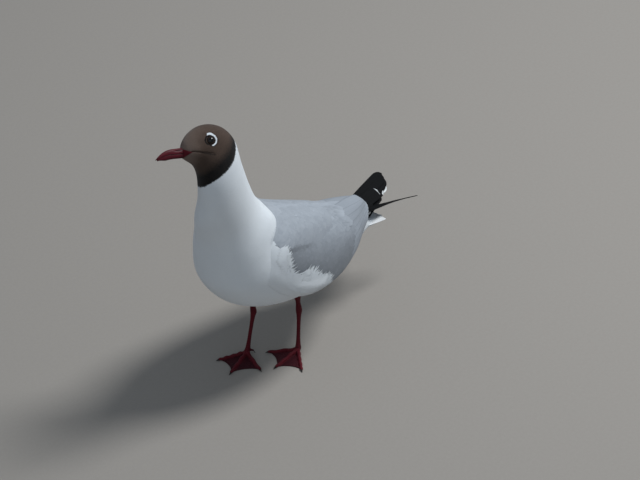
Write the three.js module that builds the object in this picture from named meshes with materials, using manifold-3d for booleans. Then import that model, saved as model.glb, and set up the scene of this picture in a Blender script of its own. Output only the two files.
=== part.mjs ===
// Black-headed gull (Chroicocephalus ridibundus), adult in breeding plumage, standing.
// A still, life-size model. Millimetres, +Z up, the body faces +X, its left side is +Y.
// Body, neck, head and tail are one lofted shape parted by thin planar cuts; the folded
// wings lie in shallow recesses of the trunk; bill, eyes and legs are separate solids.

import * as THREE from 'three';
import Module from 'manifold-3d';

const wasm = await Module();
wasm.setup();

// ---- driving dimensions ----
const GAP = 0.3;                 // clearance left between neighbouring solids
const RING_POINTS = 28;          // points round every body section
const STEPS_PER_STATION = 3;     // sections drawn from one body station to the next

const HEAD_REST = [88, 0, 286];  // point between the eyes when the neck is straight
const HEAD_PLACE = [83, -8, 289]; // where that point sits in the pose
const HEAD_YAW = -19;            // degrees, negative turns to the bird's right
const HEAD_PITCH = 12;           // degrees, positive lifts the bill
const HEAD_ROLL = 32;            // degrees, positive turns the left eye up
const NECK_BEND_FROM = 10.5;     // station where the bend of the neck starts
const NECK_BEND_TO = 5;          // station from which the head moves as one piece

const EYE_SIDE = 12.1;           // eye centre from the middle plane
const EYE_RADIUS = 4.9;          // radius of the eyeball
const BILL_START = 25;           // bill base ahead of the eyes
const BILL_LENGTH = 28;          // upper bill along the head's axis
const BILL_LOWER_LENGTH = 26.4;  // lower bill along the head's axis

const HEAD_END = 6;              // body station of the cut between head and neck
const NECK_END = 9.5;            // body station of the cut between neck and trunk
const TRUNK_END = 15.6;          // body station of the cut between trunk and tail

const WING_THICKNESS = 4.5;      // depth of a folded wing
const FEATHER_HALF_WIDTH = 6.5;  // half width of a flight feather
const FEATHER_THICKNESS = 1.0;   // thickness of a flight feather

const ANKLE_HEIGHT = 48;         // ankle joint above the floor
const FOOT_TOP = 8;              // the foot ends and the tarsus starts here
const WEB_THICKNESS = 1.2;       // thickness of the webs between the toes

// Body stations from the bill base to the tail end, in the middle plane:
// upper outline x, z, lower outline x, z, half width, height share of the widest
// place (0 bottom, 1 top) and squareness (1 round, lower squarer).
// The first seven are measured from HEAD_REST.
const HEAD_STATIONS = [
  [25, -3.2, 25, -13, 3.6, 0.45, 1],
  [22, 3, 21, -15.6, 7.8, 0.45, 1],
  [15, 10, 16.5, -18.4, 11.6, 0.5, 1],
  [4, 15.2, 12.5, -22, 14.5, 0.53, 1],
  [-9, 15.6, 10, -27.5, 17, 0.55, 1],
  [-21, 10.5, 9, -35, 19.2, 0.56, 1],
  [-30, -1.5, 9.5, -44, 21, 0.55, 1],
];
const BODY_STATIONS = [
  [52, 260, 98, 227, 23, 0.5, 1],
  [43.5, 235, 100.3, 206, 26, 0.5, 1],
  [31.5, 210, 96, 183, 31, 0.5, 1],
  [10, 187, 93, 154, 40, 0.48, 1],
  [-17, 166, 86.5, 124.6, 48, 0.46, 1],
  [-50, 146, 61, 95.3, 51, 0.46, 1],
  [-83, 128.5, 14, 74.8, 47, 0.48, 1],
  [-110, 118.5, -38, 72.5, 38, 0.5, 1],
  [-129, 108, -82, 78.5, 27, 0.5, 1],
  [-140, 96, -120, 87, 19, 0.5, 0.8],
  [-148, 92.8, -140, 88.6, 20, 0.5, 0.7],
  [-155, 91, -154, 89.4, 22.5, 0.5, 0.6],
];

// Folded wing from the bend to the tertial tips: lower edge x, y, z,
// upper edge x, y, z and how far the outside bulges off the chord between them.
const WING_STATIONS = [
  [62, 33, 160, 34, 25, 190, 6],
  [50, 46, 137, 11, 19, 183, 13.5],
  [24, 52, 110, -23, 12, 166.5, 17.5],
  [-10, 52, 94, -58, 8.5, 149, 17.5],
  [-50, 47.5, 88.5, -93, 6.5, 131, 14],
  [-85, 39, 93, -117, 5.5, 122, 9.5],
  [-113, 27.5, 102, -133, 4.5, 116, 5.5],
  [-130, 21, 106.5, -140, 4, 112.5, 3],
];

// Flight feathers beyond the tertials: root x, y, z and tip x, y, z.
const RIGHT_FEATHERS = [
  [-112, -1, 104.4, -206, -22.5, 101.5],
  [-112, 0, 105, -201, -15.5, 102.3],
  [-112, 0, 105.6, -190, -8.5, 103.2],
  [-112, 0, 106.2, -178, -3, 104],
  [-112, 0, 106.8, -166, 2.5, 104.8],
];
const LEFT_FEATHERS = [
  [-112, 19, 115, -209, 20, 90.6],
  [-112, 15.5, 112.8, -202, 16, 90.6],
  [-112, 12, 110.6, -190, 11.5, 92.2],
  [-112, 8.5, 108.4, -176, 7, 94.2],
  [-112, 5, 106.2, -163, 3.5, 96.6],
];
const RIGHT_FEATHER_ACROSS = [0, 0.98, 0.2];   // direction across the right feathers
const LEFT_FEATHER_ACROSS = [0, 0.85, 0.53];   // direction across the left feathers

// Legs: toe joint x, y; ankle x, y; thigh top x, y, z; direction of the small hind toe;
// front toes as angle and length from outer to inner. Angles are degrees from +X to +Y.
const RIGHT_LEG = {
  joint: [21, -15.5],
  ankle: [10, -15],
  thigh: [16, -17, 85.5],
  hindToe: 132,
  toes: [[-28, 32.5], [15, 39], [67, 33.5]],
};
const LEFT_LEG = {
  joint: [-16, 21],
  ankle: [-21, 18.5],
  thigh: [-14, 20, 87],
  hindToe: 228,
  toes: [[47, 36], [2, 39], [-43.5, 32.5]],
};

// ---- small vector helpers ----
const add = (a, b) => a.map((v, i) => v + b[i]);
const sub = (a, b) => a.map((v, i) => v - b[i]);
const scale = (a, k) => a.map((v) => v * k);
const mix = (a, b, k) => a.map((v, i) => v + (b[i] - v) * k);
const cross = (a, b) => [
  a[1] * b[2] - a[2] * b[1],
  a[2] * b[0] - a[0] * b[2],
  a[0] * b[1] - a[1] * b[0],
];
const unit = (a) => scale(a, 1 / Math.hypot(...a));
const clamp = (x, low, high) => Math.min(high, Math.max(low, x));
const smooth = (x) => {
  const k = clamp(x, 0, 1);
  return k * k * (3 - 2 * k);
};
const radians = (degrees) => (degrees * Math.PI) / 180;

// Row of a table at a fractional place, by a Catmull-Rom curve through the rows.
function rowAt(rows, place) {
  const i = clamp(Math.floor(place), 0, rows.length - 2);
  const t = place - i;
  const b = rows[i];
  const c = rows[i + 1];
  const a = i > 0 ? rows[i - 1] : sub(scale(b, 2), c);
  const d = i + 2 < rows.length ? rows[i + 2] : sub(scale(c, 2), b);
  return b.map((_, k) => {
    const one = c[k] - a[k];
    const two = 2 * a[k] - 5 * b[k] + 4 * c[k] - d[k];
    const three = 3 * b[k] - a[k] - 3 * c[k] + d[k];
    return 0.5 * (2 * b[k] + one * t + two * t * t + three * t * t * t);
  });
}

// ---- solids ----
// Closed solid from a list of triangles over shared points, turned to face outward.
function solid(points, triangles) {
  let volume = 0;
  for (const [a, b, c] of triangles) {
    const n = cross(points[b], points[c]);
    volume += points[a][0] * n[0] + points[a][1] * n[1] + points[a][2] * n[2];
  }
  const facing = volume < 0 ? triangles.map(([a, b, c]) => [a, c, b]) : triangles;
  return new wasm.Manifold(
    new wasm.Mesh({
      numProp: 3,
      vertProperties: new Float32Array(points.flat()),
      triVerts: new Uint32Array(facing.flat()),
    }),
  );
}

// Solid through closed rings of equal point counts, both ends closed by a fan.
function loft(rings) {
  const count = rings[0].length;
  const points = rings.flat();
  const triangles = [];
  for (let i = 0; i + 1 < rings.length; i += 1) {
    for (let j = 0; j < count; j += 1) {
      const k = (j + 1) % count;
      const a = i * count + j;
      const b = i * count + k;
      triangles.push([a, b, b + count], [a, b + count, a + count]);
    }
  }
  const last = (rings.length - 1) * count;
  const front = points.push(centre(rings[0])) - 1;
  const back = points.push(centre(rings[rings.length - 1])) - 1;
  for (let j = 0; j < count; j += 1) {
    const k = (j + 1) % count;
    triangles.push([front, k, j], [back, last + j, last + k]);
  }
  return solid(points, triangles);
}

function centre(ring) {
  return scale(ring.reduce(add), 1 / ring.length);
}

// Solid between two grids of points of the same size, rims closed by strips.
function slab(outer, inner) {
  const rows = outer.length;
  const columns = outer[0].length;
  const points = [...outer.flat(), ...inner.flat()];
  const far = rows * columns;
  const triangles = [];
  const at = (i, j) => i * columns + j;
  const quad = (a, b, c, d) => triangles.push([a, b, c], [a, c, d]);
  for (let i = 0; i + 1 < rows; i += 1) {
    for (let j = 0; j + 1 < columns; j += 1) {
      quad(at(i, j), at(i + 1, j), at(i + 1, j + 1), at(i, j + 1));
      quad(far + at(i, j), far + at(i, j + 1), far + at(i + 1, j + 1), far + at(i + 1, j));
    }
  }
  for (let i = 0; i + 1 < rows; i += 1) {
    const end = columns - 1;
    quad(at(i, 0), far + at(i, 0), far + at(i + 1, 0), at(i + 1, 0));
    quad(at(i, end), at(i + 1, end), far + at(i + 1, end), far + at(i, end));
  }
  for (let j = 0; j + 1 < columns; j += 1) {
    const end = rows - 1;
    quad(at(0, j), at(0, j + 1), far + at(0, j + 1), far + at(0, j));
    quad(at(end, j), far + at(end, j), far + at(end, j + 1), at(end, j + 1));
  }
  return solid(points, triangles);
}

function join(parts) {
  return parts.reduce((whole, piece) => whole.add(piece));
}

// The biggest single body of a cut shape.
function largest(shape) {
  const bodies = shape.decompose();
  bodies.sort((a, b) => b.volume() - a.volume());
  return bodies[0];
}

// ---- body ----
const [restX, , restZ] = HEAD_REST;
const stations = [
  ...HEAD_STATIONS.map(([ux, uz, lx, lz, ...rest]) => [ux + restX, uz + restZ, lx + restX, lz + restZ, ...rest]),
  ...BODY_STATIONS,
];

// Turn a point about a pivot by a share of the head's yaw, pitch and roll.
function turned(point, pivot, share) {
  const spin = new THREE.Euler(
    radians(HEAD_ROLL * share),
    radians(-HEAD_PITCH * share),
    radians(HEAD_YAW * share),
    'ZYX',
  );
  const p = new THREE.Vector3(...sub(point, pivot)).applyEuler(spin);
  return add([p.x, p.y, p.z], pivot);
}

// Bend the straight bird into the pose; axis is the middle of the point's section.
function posed(point, axis, share) {
  const pivot = mix(axis, HEAD_REST, share);
  const moved = turned(point, pivot, share);
  return add(moved, scale(sub(HEAD_PLACE, HEAD_REST), share));
}

const headPoint = (point) => posed(point, HEAD_REST, 1);

// One section of the body, grown outward by the given amount.
function bodyRing(place, grow = 0) {
  const [ux, uz, lx, lz, halfWidth, share, square] = rowAt(stations, place);
  const upper = [ux, 0, uz];
  const lower = [lx, 0, lz];
  const middle = mix(lower, upper, share);
  const bend = smooth((NECK_BEND_FROM - place) / (NECK_BEND_FROM - NECK_BEND_TO));
  const axis = mix(lower, upper, 0.5);
  const ring = [];
  for (let j = 0; j < RING_POINTS; j += 1) {
    const angle = (2 * Math.PI * j) / RING_POINTS;
    const rise = Math.sign(Math.cos(angle)) * Math.abs(Math.cos(angle)) ** square;
    const side = Math.sign(Math.sin(angle)) * Math.abs(Math.sin(angle)) ** square;
    const arm = sub(rise > 0 ? upper : lower, middle);
    const grown = scale(arm, 1 + grow / Math.hypot(...arm));
    const point = add(middle, scale(grown, Math.abs(rise)));
    point[1] += side * (halfWidth + grow);
    ring.push(posed(point, axis, bend));
  }
  return ring;
}

// Body between two places; sections between them fall on the same places in every piece.
function bodySolid(from, to, grow = 0) {
  const rings = [bodyRing(from, grow)];
  for (let i = Math.floor(from * STEPS_PER_STATION) + 1; i / STEPS_PER_STATION < to; i += 1) {
    rings.push(bodyRing(i / STEPS_PER_STATION, grow));
  }
  rings.push(bodyRing(to, grow));
  return loft(rings);
}

// Half of the thin cut at a station, in stations.
function cutAt(place) {
  const a = centre(bodyRing(place - 0.1));
  const b = centre(bodyRing(place + 0.1));
  return (0.1 * GAP * 1.3) / Math.hypot(...sub(b, a));
}

const headCut = cutAt(HEAD_END);
const neckCut = cutAt(NECK_END);
const trunkCut = cutAt(TRUNK_END);
const grownBody = bodySolid(NECK_END, stations.length - 1, GAP);

// ---- eyes ----
function ball(point, radius) {
  return wasm.Manifold.sphere(radius, 16).translate(point);
}

const eyePlace = (side) => headPoint(add(HEAD_REST, [0, side * EYE_SIDE, 0]));
const eyeLeft = ball(eyePlace(1), EYE_RADIUS);
const eyeRight = ball(eyePlace(-1), EYE_RADIUS);
const head = bodySolid(0, HEAD_END - headCut)
  .subtract(ball(eyePlace(1), EYE_RADIUS + GAP))
  .subtract(ball(eyePlace(-1), EYE_RADIUS + GAP));
const neck = bodySolid(HEAD_END + headCut, NECK_END - neckCut);

// ---- bill ----
const hump = (s, middle, width) => Math.exp(-(((s - middle) / width) ** 2));
const cuttingEdge = (s) => -8.9 + 0.6 * s - 3.9 * clamp((s - 0.5) / 0.5, 0, 1) ** 1.7;

function billHalf(length, topAt, bottomAt, widthAt) {
  const rings = [];
  const count = 9;
  for (let i = 0; i <= count; i += 1) {
    const s = i / count;
    const ring = [];
    const points = 12;
    for (let j = 0; j < points; j += 1) {
      const angle = (2 * Math.PI * (j + 0.5)) / points;
      const height = (topAt(s) + bottomAt(s)) / 2 + (Math.cos(angle) * (topAt(s) - bottomAt(s))) / 2;
      const side = widthAt(s) * Math.sign(Math.sin(angle)) * Math.abs(Math.sin(angle)) ** 0.8;
      ring.push(headPoint(add(HEAD_REST, [BILL_START + GAP + length * s, side, height])));
    }
    rings.push(ring);
  }
  return loft(rings);
}

const billUpper = billHalf(
  BILL_LENGTH,
  (s) => -3.2 - 0.6 * s - 7.8 * clamp((s - 0.35) / 0.65, 0, 1) ** 2.1,
  cuttingEdge,
  (s) => 0.45 + 2.95 * (1 - s ** 1.4),
);
const billLower = billHalf(
  BILL_LOWER_LENGTH,
  (s) => cuttingEdge((s * BILL_LOWER_LENGTH) / BILL_LENGTH) - GAP,
  (s) => -12.9 + 0.6 * s - 0.8 * hump(s, 0.68, 0.17) - 0.7 * s ** 8,
  (s) => 0.4 + 2.7 * (1 - s ** 1.6),
);

// ---- wings ----
// Point on a folded wing: u from the bend back, v from lower to upper edge, depth inward.
function wingPoint(u, v, depth, side) {
  const row = rowAt(WING_STATIONS, u * (WING_STATIONS.length - 1));
  const low = row.slice(0, 3);
  const high = row.slice(3, 6);
  const outward = unit(cross(sub(high, low), [1, 0, 0]));
  const bulge = row[6] * Math.sin(Math.PI * clamp(v, 0, 1)) ** 0.8;
  const point = add(mix(low, high, v), scale(outward, bulge - depth));
  point[1] *= side;
  return point;
}

// Push the first and last entry of a row of points outward along the row.
function stretch(line, margin) {
  const beyond = (end, near) => add(end, scale(unit(sub(end, near)), margin));
  const last = line.length - 1;
  const middle = line.slice(1, last);
  return [beyond(line[0], line[1]), ...middle, beyond(line[last], line[last - 1])];
}

function transpose(sheet) {
  return sheet[0].map((_, j) => sheet.map((line) => line[j]));
}

// A folded wing from the outside depth to the inside depth, its rim pushed out by a margin.
function wingSolid(side, margin, outside, inside) {
  const rows = 14;
  const columns = 10;
  const grid = (depth) => {
    const sheet = [];
    for (let i = 0; i <= rows; i += 1) {
      const line = [];
      for (let j = 0; j <= columns; j += 1) {
        line.push(wingPoint(i / rows, j / columns, depth, side));
      }
      sheet.push(stretch(line, margin));
    }
    return transpose(transpose(sheet).map((line) => stretch(line, margin)));
  };
  return slab(grid(outside), grid(inside));
}

const wingLeft = wingSolid(1, 0, 0, WING_THICKNESS);
const wingRight = wingSolid(-1, 0, 0, WING_THICKNESS);
const leftRecess = wingSolid(1, GAP * 2.2, -6, WING_THICKNESS + GAP);
const rightRecess = wingSolid(-1, GAP * 2.2, -6, WING_THICKNESS + GAP);
const trunk = bodySolid(NECK_END + neckCut, TRUNK_END - trunkCut)
  .subtract(leftRecess)
  .subtract(rightRecess);
const tail = bodySolid(TRUNK_END + trunkCut, stations.length - 1)
  .subtract(leftRecess)
  .subtract(rightRecess);

// ---- flight feathers ----
function feather(row, across) {
  const root = row.slice(0, 3);
  const tip = row.slice(3, 6);
  const along = unit(sub(tip, root));
  const side = unit(across);
  const up = unit(cross(side, along));
  const rings = [];
  const count = 8;
  for (let i = 0; i <= count; i += 1) {
    const s = 1 - (1 - i / count) ** 1.6;
    const width = FEATHER_HALF_WIDTH * Math.sqrt(1 - 0.94 * clamp((s - 0.72) / 0.28, 0, 1) ** 2);
    const half = FEATHER_THICKNESS / 2;
    const middle = add(mix(root, tip, s), scale(up, 3.5 * Math.sin(Math.PI * s)));
    const corners = [[-1, -0.7], [-1, 0.7], [0, 1], [1, 0.7], [1, -0.7], [0, -1]];
    rings.push(corners.map(([a, b]) => add(middle, add(scale(side, a * width), scale(up, b * half)))));
  }
  return loft(rings);
}

function fan(rows, across) {
  return join(rows.map((row) => feather(row, across)));
}

const besides = (shape) => shape.subtract(leftRecess).subtract(rightRecess).subtract(grownBody);
const primariesRight = largest(besides(fan(RIGHT_FEATHERS, RIGHT_FEATHER_ACROSS)));
const primariesLeft = largest(besides(fan(LEFT_FEATHERS, LEFT_FEATHER_ACROSS)));

// ---- legs ----
// Round limb through rows of x, y, z, half width across, half width fore and aft.
function limb(rows, steps) {
  const rings = [];
  const count = (rows.length - 1) * steps;
  for (let i = 0; i <= count; i += 1) {
    const [x, y, z, wide, deep] = rowAt(rows, i / steps);
    const ring = [];
    for (let j = 0; j < 10; j += 1) {
      const angle = (2 * Math.PI * j) / 10;
      ring.push([x + deep * Math.cos(angle), y + wide * Math.sin(angle), z]);
    }
    rings.push(ring);
  }
  return loft(rings);
}

// A toe with a flat sole on the floor, its claw at the end.
function toe([x, y], angle, length) {
  const profile = [
    [0, 2.6, 5.2],
    [0.14, 2.0, 4.2],
    [0.5, 1.6, 3.2],
    [0.86, 1.45, 2.7],
    [0.92, 1.0, 2.2],
    [1, 0.4, 0.9],
  ];
  const outline = [[-0.8, 0], [0.8, 0], [1, 0.4], [0.7, 0.85], [0, 1], [-0.7, 0.85], [-1, 0.4]];
  const ahead = [Math.cos(radians(angle)), Math.sin(radians(angle))];
  const rings = profile.map(([s, wide, high]) =>
    outline.map(([a, b]) => [
      x + ahead[0] * length * s - ahead[1] * a * wide,
      y + ahead[1] * length * s + ahead[0] * a * wide,
      b * high,
    ]),
  );
  return loft(rings);
}

// A web between two toes, its front edge hollow.
function web([x, y], first, second) {
  const reach = ([angle, length]) => [
    x + 0.86 * length * Math.cos(radians(angle)),
    y + 0.86 * length * Math.sin(radians(angle)),
  ];
  const a = reach(first);
  const b = reach(second);
  const inner = mix([x, y], mix(a, b, 0.5), 0.78);
  const outline = [[x, y]];
  for (let i = 0; i <= 8; i += 1) {
    const t = i / 8;
    outline.push(mix(mix(a, inner, t), mix(inner, b, t), t));
  }
  const rings = [0, WEB_THICKNESS].map((z) => outline.map((p) => [...p, z]));
  return loft(rings);
}

function footSolid(leg) {
  const [x, y] = leg.joint;
  const lean = scale(sub(leg.ankle, leg.joint), 1 / ANKLE_HEIGHT);
  const rise = (z) => [x + lean[0] * z, y + lean[1] * z, z];
  const heel = limb([[...rise(0), 2.6, 3.4], [...rise(3), 3.0, 3.8], [...rise(FOOT_TOP), 2.2, 2.9]], 2);
  const back = radians(leg.hindToe);
  const behind = (s, z) => [x + Math.cos(back) * s, y + Math.sin(back) * s, z];
  const thumb = loft(
    [[1, 5.4, 1.5], [4, 5.2, 1.3], [6.5, 4.4, 0.9], [8.6, 3.2, 0.4]].map(([s, z, r]) => {
      const ring = [];
      for (let j = 0; j < 8; j += 1) {
        const angle = (2 * Math.PI * j) / 8;
        const side = r * Math.cos(angle);
        const point = behind(s, z + r * Math.sin(angle));
        ring.push(add(point, [-Math.sin(back) * side, Math.cos(back) * side, 0]));
      }
      return ring;
    }),
  );
  const toes = leg.toes.map(([angle, length]) => toe(leg.joint, angle, length));
  const webs = [web(leg.joint, leg.toes[0], leg.toes[1]), web(leg.joint, leg.toes[1], leg.toes[2])];
  return join([heel, thumb, ...toes, ...webs]);
}

function tarsusSolid(leg) {
  const lean = scale(sub(leg.ankle, leg.joint), 1 / ANKLE_HEIGHT);
  const rise = (z) => [leg.joint[0] + lean[0] * z, leg.joint[1] + lean[1] * z, z];
  return limb(
    [
      [...rise(FOOT_TOP + GAP), 2.2, 2.9],
      [...rise(18), 1.8, 2.3],
      [...rise(34), 1.9, 2.3],
      [...rise(ANKLE_HEIGHT - 4), 2.5, 2.9],
      [...rise(ANKLE_HEIGHT - GAP), 3.0, 3.3],
    ],
    2,
  );
}

function thighSolid(leg) {
  const low = [...leg.ankle, ANKLE_HEIGHT];
  const at = (k) => mix(low, leg.thigh, k);
  const shape = limb(
    [
      [...at(0), 3.0, 3.3],
      [...at(0.12), 2.9, 3.2],
      [...at(0.3), 2.4, 2.7],
      [...at(0.6), 4.2, 5],
      [...at(1), 7, 9],
    ],
    2,
  );
  return largest(shape.subtract(grownBody));
}

// ---- assembly ----
const HOOD = 0x4a3a30;
const WHITE = 0xf2f2f0;
const GREY = 0xa9b1bb;
const BLACK = 0x1c1c1e;
const BILL_RED = 0x7a1622;
const LEG_RED = 0x6a1820;
const EYE_BROWN = 0x17100c;

const bodies = [
  ['head', head, HOOD],
  ['neck', neck, WHITE],
  ['trunk', trunk, WHITE],
  ['tail', tail, WHITE],
  ['eye_left', eyeLeft, EYE_BROWN],
  ['eye_right', eyeRight, EYE_BROWN],
  ['bill_upper', billUpper, BILL_RED],
  ['bill_lower', billLower, BILL_RED],
  ['wing_left', wingLeft, GREY],
  ['wing_right', wingRight, GREY],
  ['primaries_left', primariesLeft, BLACK],
  ['primaries_right', primariesRight, BLACK],
  ['thigh_left', thighSolid(LEFT_LEG), LEG_RED],
  ['thigh_right', thighSolid(RIGHT_LEG), LEG_RED],
  ['tarsus_left', tarsusSolid(LEFT_LEG), LEG_RED],
  ['tarsus_right', tarsusSolid(RIGHT_LEG), LEG_RED],
  ['foot_left', footSolid(LEFT_LEG), LEG_RED],
  ['foot_right', footSolid(RIGHT_LEG), LEG_RED],
];

const group = new THREE.Group();
for (const [name, shape, colour] of bodies) {
  const data = shape.getMesh();
  const geometry = new THREE.BufferGeometry();
  geometry.setAttribute('position', new THREE.BufferAttribute(new Float32Array(data.vertProperties), 3));
  geometry.setIndex(new THREE.BufferAttribute(new Uint32Array(data.triVerts), 1));
  geometry.computeVertexNormals();
  const mesh = new THREE.Mesh(geometry, new THREE.MeshStandardMaterial({ color: colour }));
  mesh.name = name;
  group.add(mesh);
}

// Centre the footprint of the whole on the origin, soles on the floor.
const box = new THREE.Box3().setFromObject(group);
for (const mesh of group.children) {
  mesh.geometry.translate(-(box.min.x + box.max.x) / 2, -(box.min.y + box.max.y) / 2, -box.min.z);
}

export default group;
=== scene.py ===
"""Black-headed gull in breeding plumage, standing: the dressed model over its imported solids.

Shapes are worked out in millimetres with the toes' middle near the origin, +X where the body
faces, +Y its left, +Z up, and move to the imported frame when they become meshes.
One skin runs from the bill to the tail and the feet. Feathers are small curved vanes laid over it.
"""

import math
import bpy
import numpy as np
from mathutils import Matrix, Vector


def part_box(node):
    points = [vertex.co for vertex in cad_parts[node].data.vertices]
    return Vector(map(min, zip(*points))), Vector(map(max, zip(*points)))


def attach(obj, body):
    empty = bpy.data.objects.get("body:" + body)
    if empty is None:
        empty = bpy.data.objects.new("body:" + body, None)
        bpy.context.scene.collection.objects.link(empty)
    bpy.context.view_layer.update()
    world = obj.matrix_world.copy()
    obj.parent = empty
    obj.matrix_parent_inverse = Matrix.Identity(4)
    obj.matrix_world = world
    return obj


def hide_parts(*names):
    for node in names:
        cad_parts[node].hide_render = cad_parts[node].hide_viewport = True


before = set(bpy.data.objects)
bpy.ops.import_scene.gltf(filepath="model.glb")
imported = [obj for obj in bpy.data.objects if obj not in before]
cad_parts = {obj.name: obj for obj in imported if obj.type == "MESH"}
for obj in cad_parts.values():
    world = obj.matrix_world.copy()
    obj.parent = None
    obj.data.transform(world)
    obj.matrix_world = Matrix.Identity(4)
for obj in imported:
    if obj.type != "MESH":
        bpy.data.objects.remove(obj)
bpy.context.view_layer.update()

MM_PER_METRE = 1000

# ---- sizes in millimetres, and forms that follow the solids' ----
HEAD_REST = np.array([88.0, 0.0, 286.0])     # between the eyes, with the neck straight
HEAD_PLACE = np.array([83.0, -8.0, 289.0])   # the same point in the pose
HEAD_YAW, HEAD_PITCH, HEAD_ROLL = -19.0, 12.0, 32.0   # degrees
NECK_BEND_FROM, NECK_BEND_TO = 10.5, 5.0     # body stations

EYE_SIDE = 12.1
EYE_RADIUS = 4.9
CORNEA_RISE = 0.05               # share of the radius
EYE_OPENING = 4.3                # radius of the opening between the lids
EYE_FACING = (0.3, 0.94, 0.17)   # way the left eye looks, in the head's frame
FACE_END = 7                     # body station where the head's relief stops
BILL_START = 25.3
BILL_LENGTH = 28.0
BILL_LOWER_LENGTH = 26.4
ANKLE_HEIGHT = 48.0
WING_EDGE_ROUND = 6              # length over which the wing's outside turns round its edges

# upper x, z, lower x, z, half width, height share of the widest place, squareness
HEAD_STATIONS = np.array([
    [25, -3.2, 25, -13, 3.6, 0.45, 1],
    [22, 3, 21, -15.6, 7.8, 0.45, 1],
    [15, 10, 16.5, -18.4, 11.6, 0.5, 1],
    [4, 15.2, 12.5, -22, 14.5, 0.53, 1],
    [-9, 15.6, 10, -27.5, 17, 0.55, 1],
    [-21, 10.5, 9, -35, 19.2, 0.56, 1],
    [-30, -1.5, 9.5, -44, 21, 0.55, 1],
])
BODY_STATIONS = np.array([
    [52, 260, 98, 227, 23, 0.5, 1],
    [43.5, 235, 100.3, 206, 26, 0.5, 1],
    [31.5, 210, 96, 183, 31, 0.5, 1],
    [10, 187, 93, 154, 40, 0.48, 1],
    [-17, 166, 86.5, 124.6, 48, 0.46, 1],
    [-50, 146, 61, 95.3, 51, 0.46, 1],
    [-83, 128.5, 14, 74.8, 47, 0.48, 1],
    [-110, 118.5, -38, 72.5, 38, 0.5, 1],
    [-129, 108, -82, 78.5, 27, 0.5, 1],
    [-140, 96, -120, 87, 19, 0.5, 0.8],
    [-148, 92.8, -140, 88.6, 20, 0.5, 0.7],
    [-155, 91, -154, 89.4, 22.5, 0.5, 0.6],
])
# lower edge x, y, z, upper edge x, y, z, bulge
WING_STATIONS = np.array([
    [62, 33, 160, 34, 25, 190, 6],
    [50, 46, 137, 11, 19, 183, 13.5],
    [24, 52, 110, -23, 12, 166.5, 17.5],
    [-10, 52, 94, -58, 8.5, 149, 17.5],
    [-50, 47.5, 88.5, -93, 6.5, 131, 14],
    [-85, 39, 93, -117, 5.5, 122, 9.5],
    [-113, 27.5, 102, -133, 4.5, 116, 5.5],
    [-130, 21, 106.5, -140, 4, 112.5, 3],
])
HEAD_SHIFT = np.append(HEAD_REST[[0, 2, 0, 2]], [0, 0, 0])
STATIONS = np.vstack([HEAD_STATIONS + HEAD_SHIFT, BODY_STATIONS])

# body station and feather length there
FEATHER_LENGTHS = np.array([
    [0, 1.6], [1.5, 1.9], [3, 2.4], [5, 3.0], [6.5, 4.2], [8, 6.5], [10, 9], [12, 12],
    [14.5, 14], [16, 16],
])
# wing station and how high the white flank feathers reach over the wing there
FLANK_EDGE = np.array([
    [-0.4, 0.8], [0.1, 0.63], [0.5, 0.49], [0.95, 0.39], [1.2, 0.29], [1.45, 0.2],
    [1.8, 0.225], [2.2, 0.255], [2.7, 0.2], [3.05, 0.15], [3.35, 0.12], [3.55, 0.0], [3.8, -0.2],
])
# wing station and lower border of the scapular feathers there
SCAPULAR_EDGE = np.array([
    [0, 0.42], [1.2, 0.45], [1.65, 0.51], [2.2, 0.555], [2.8, 0.61], [3.4, 0.7], [3.7, 0.82],
])

LEFT, RIGHT = 1, -1
SIDE_NAME = {LEFT: "left", RIGHT: "right"}
UP = np.array([0.0, 0.0, 1.0])
MIRROR_Y = np.array([1.0, -1.0, 1.0])


# ---- arithmetic on arrays ----
def alike(*values):
    """The values as float arrays of one shape."""
    return np.broadcast_arrays(*(np.asarray(value, float) for value in values))


def circle(steps):
    """Angles of one turn, the last one short of the first."""
    return np.linspace(0, 2 * np.pi, steps, endpoint=False)


def unit(v):
    """Vectors of length one."""
    return v / np.maximum(np.linalg.norm(v, axis=-1, keepdims=True), 1e-12)


def smooth(x):
    """3x2 - 2x3 between 0 and 1."""
    x = np.clip(x, 0, 1)
    return x * x * (3 - 2 * x)


def bell(x, width):
    """exp(-(x / width)2)."""
    return np.exp(-((x / width) ** 2))


def row_at(rows, place):
    """Catmull-Rom curve through the rows of a table, the first row at place 0."""
    padded = np.vstack([2 * rows[0] - rows[1], rows, 2 * rows[-1] - rows[-2]])
    i = np.clip(np.floor(place).astype(int), 0, len(rows) - 2)
    t = (place - i)[..., None]
    a, b, c, d = (padded[i + step] for step in range(4))
    return 0.5 * (2 * b + (c - a) * t + (2 * a - 5 * b + 4 * c - d) * t**2 + (3 * b - a - 3 * c + d) * t**3)


def table_at(table, x):
    """Second column of a table between its rows, by its first column."""
    return np.interp(x, table[:, 0], table[:, 1])


def turned(v, share, back=False):
    """v rolled, pitched and yawed by a share of the head's angles, or turned back."""
    roll = np.radians(HEAD_ROLL) * share
    pitch = -np.radians(HEAD_PITCH) * share
    yaw = np.radians(HEAD_YAW) * share
    x, y, z = v[..., 0], v[..., 1], v[..., 2]
    if back:
        x, y = x * np.cos(yaw) + y * np.sin(yaw), y * np.cos(yaw) - x * np.sin(yaw)
        x, z = x * np.cos(pitch) - z * np.sin(pitch), x * np.sin(pitch) + z * np.cos(pitch)
        y, z = y * np.cos(roll) + z * np.sin(roll), z * np.cos(roll) - y * np.sin(roll)
    else:
        y, z = y * np.cos(roll) - z * np.sin(roll), y * np.sin(roll) + z * np.cos(roll)
        x, z = x * np.cos(pitch) + z * np.sin(pitch), z * np.cos(pitch) - x * np.sin(pitch)
        x, y = x * np.cos(yaw) - y * np.sin(yaw), x * np.sin(yaw) + y * np.cos(yaw)
    return np.stack([x, y, z], -1)


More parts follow.
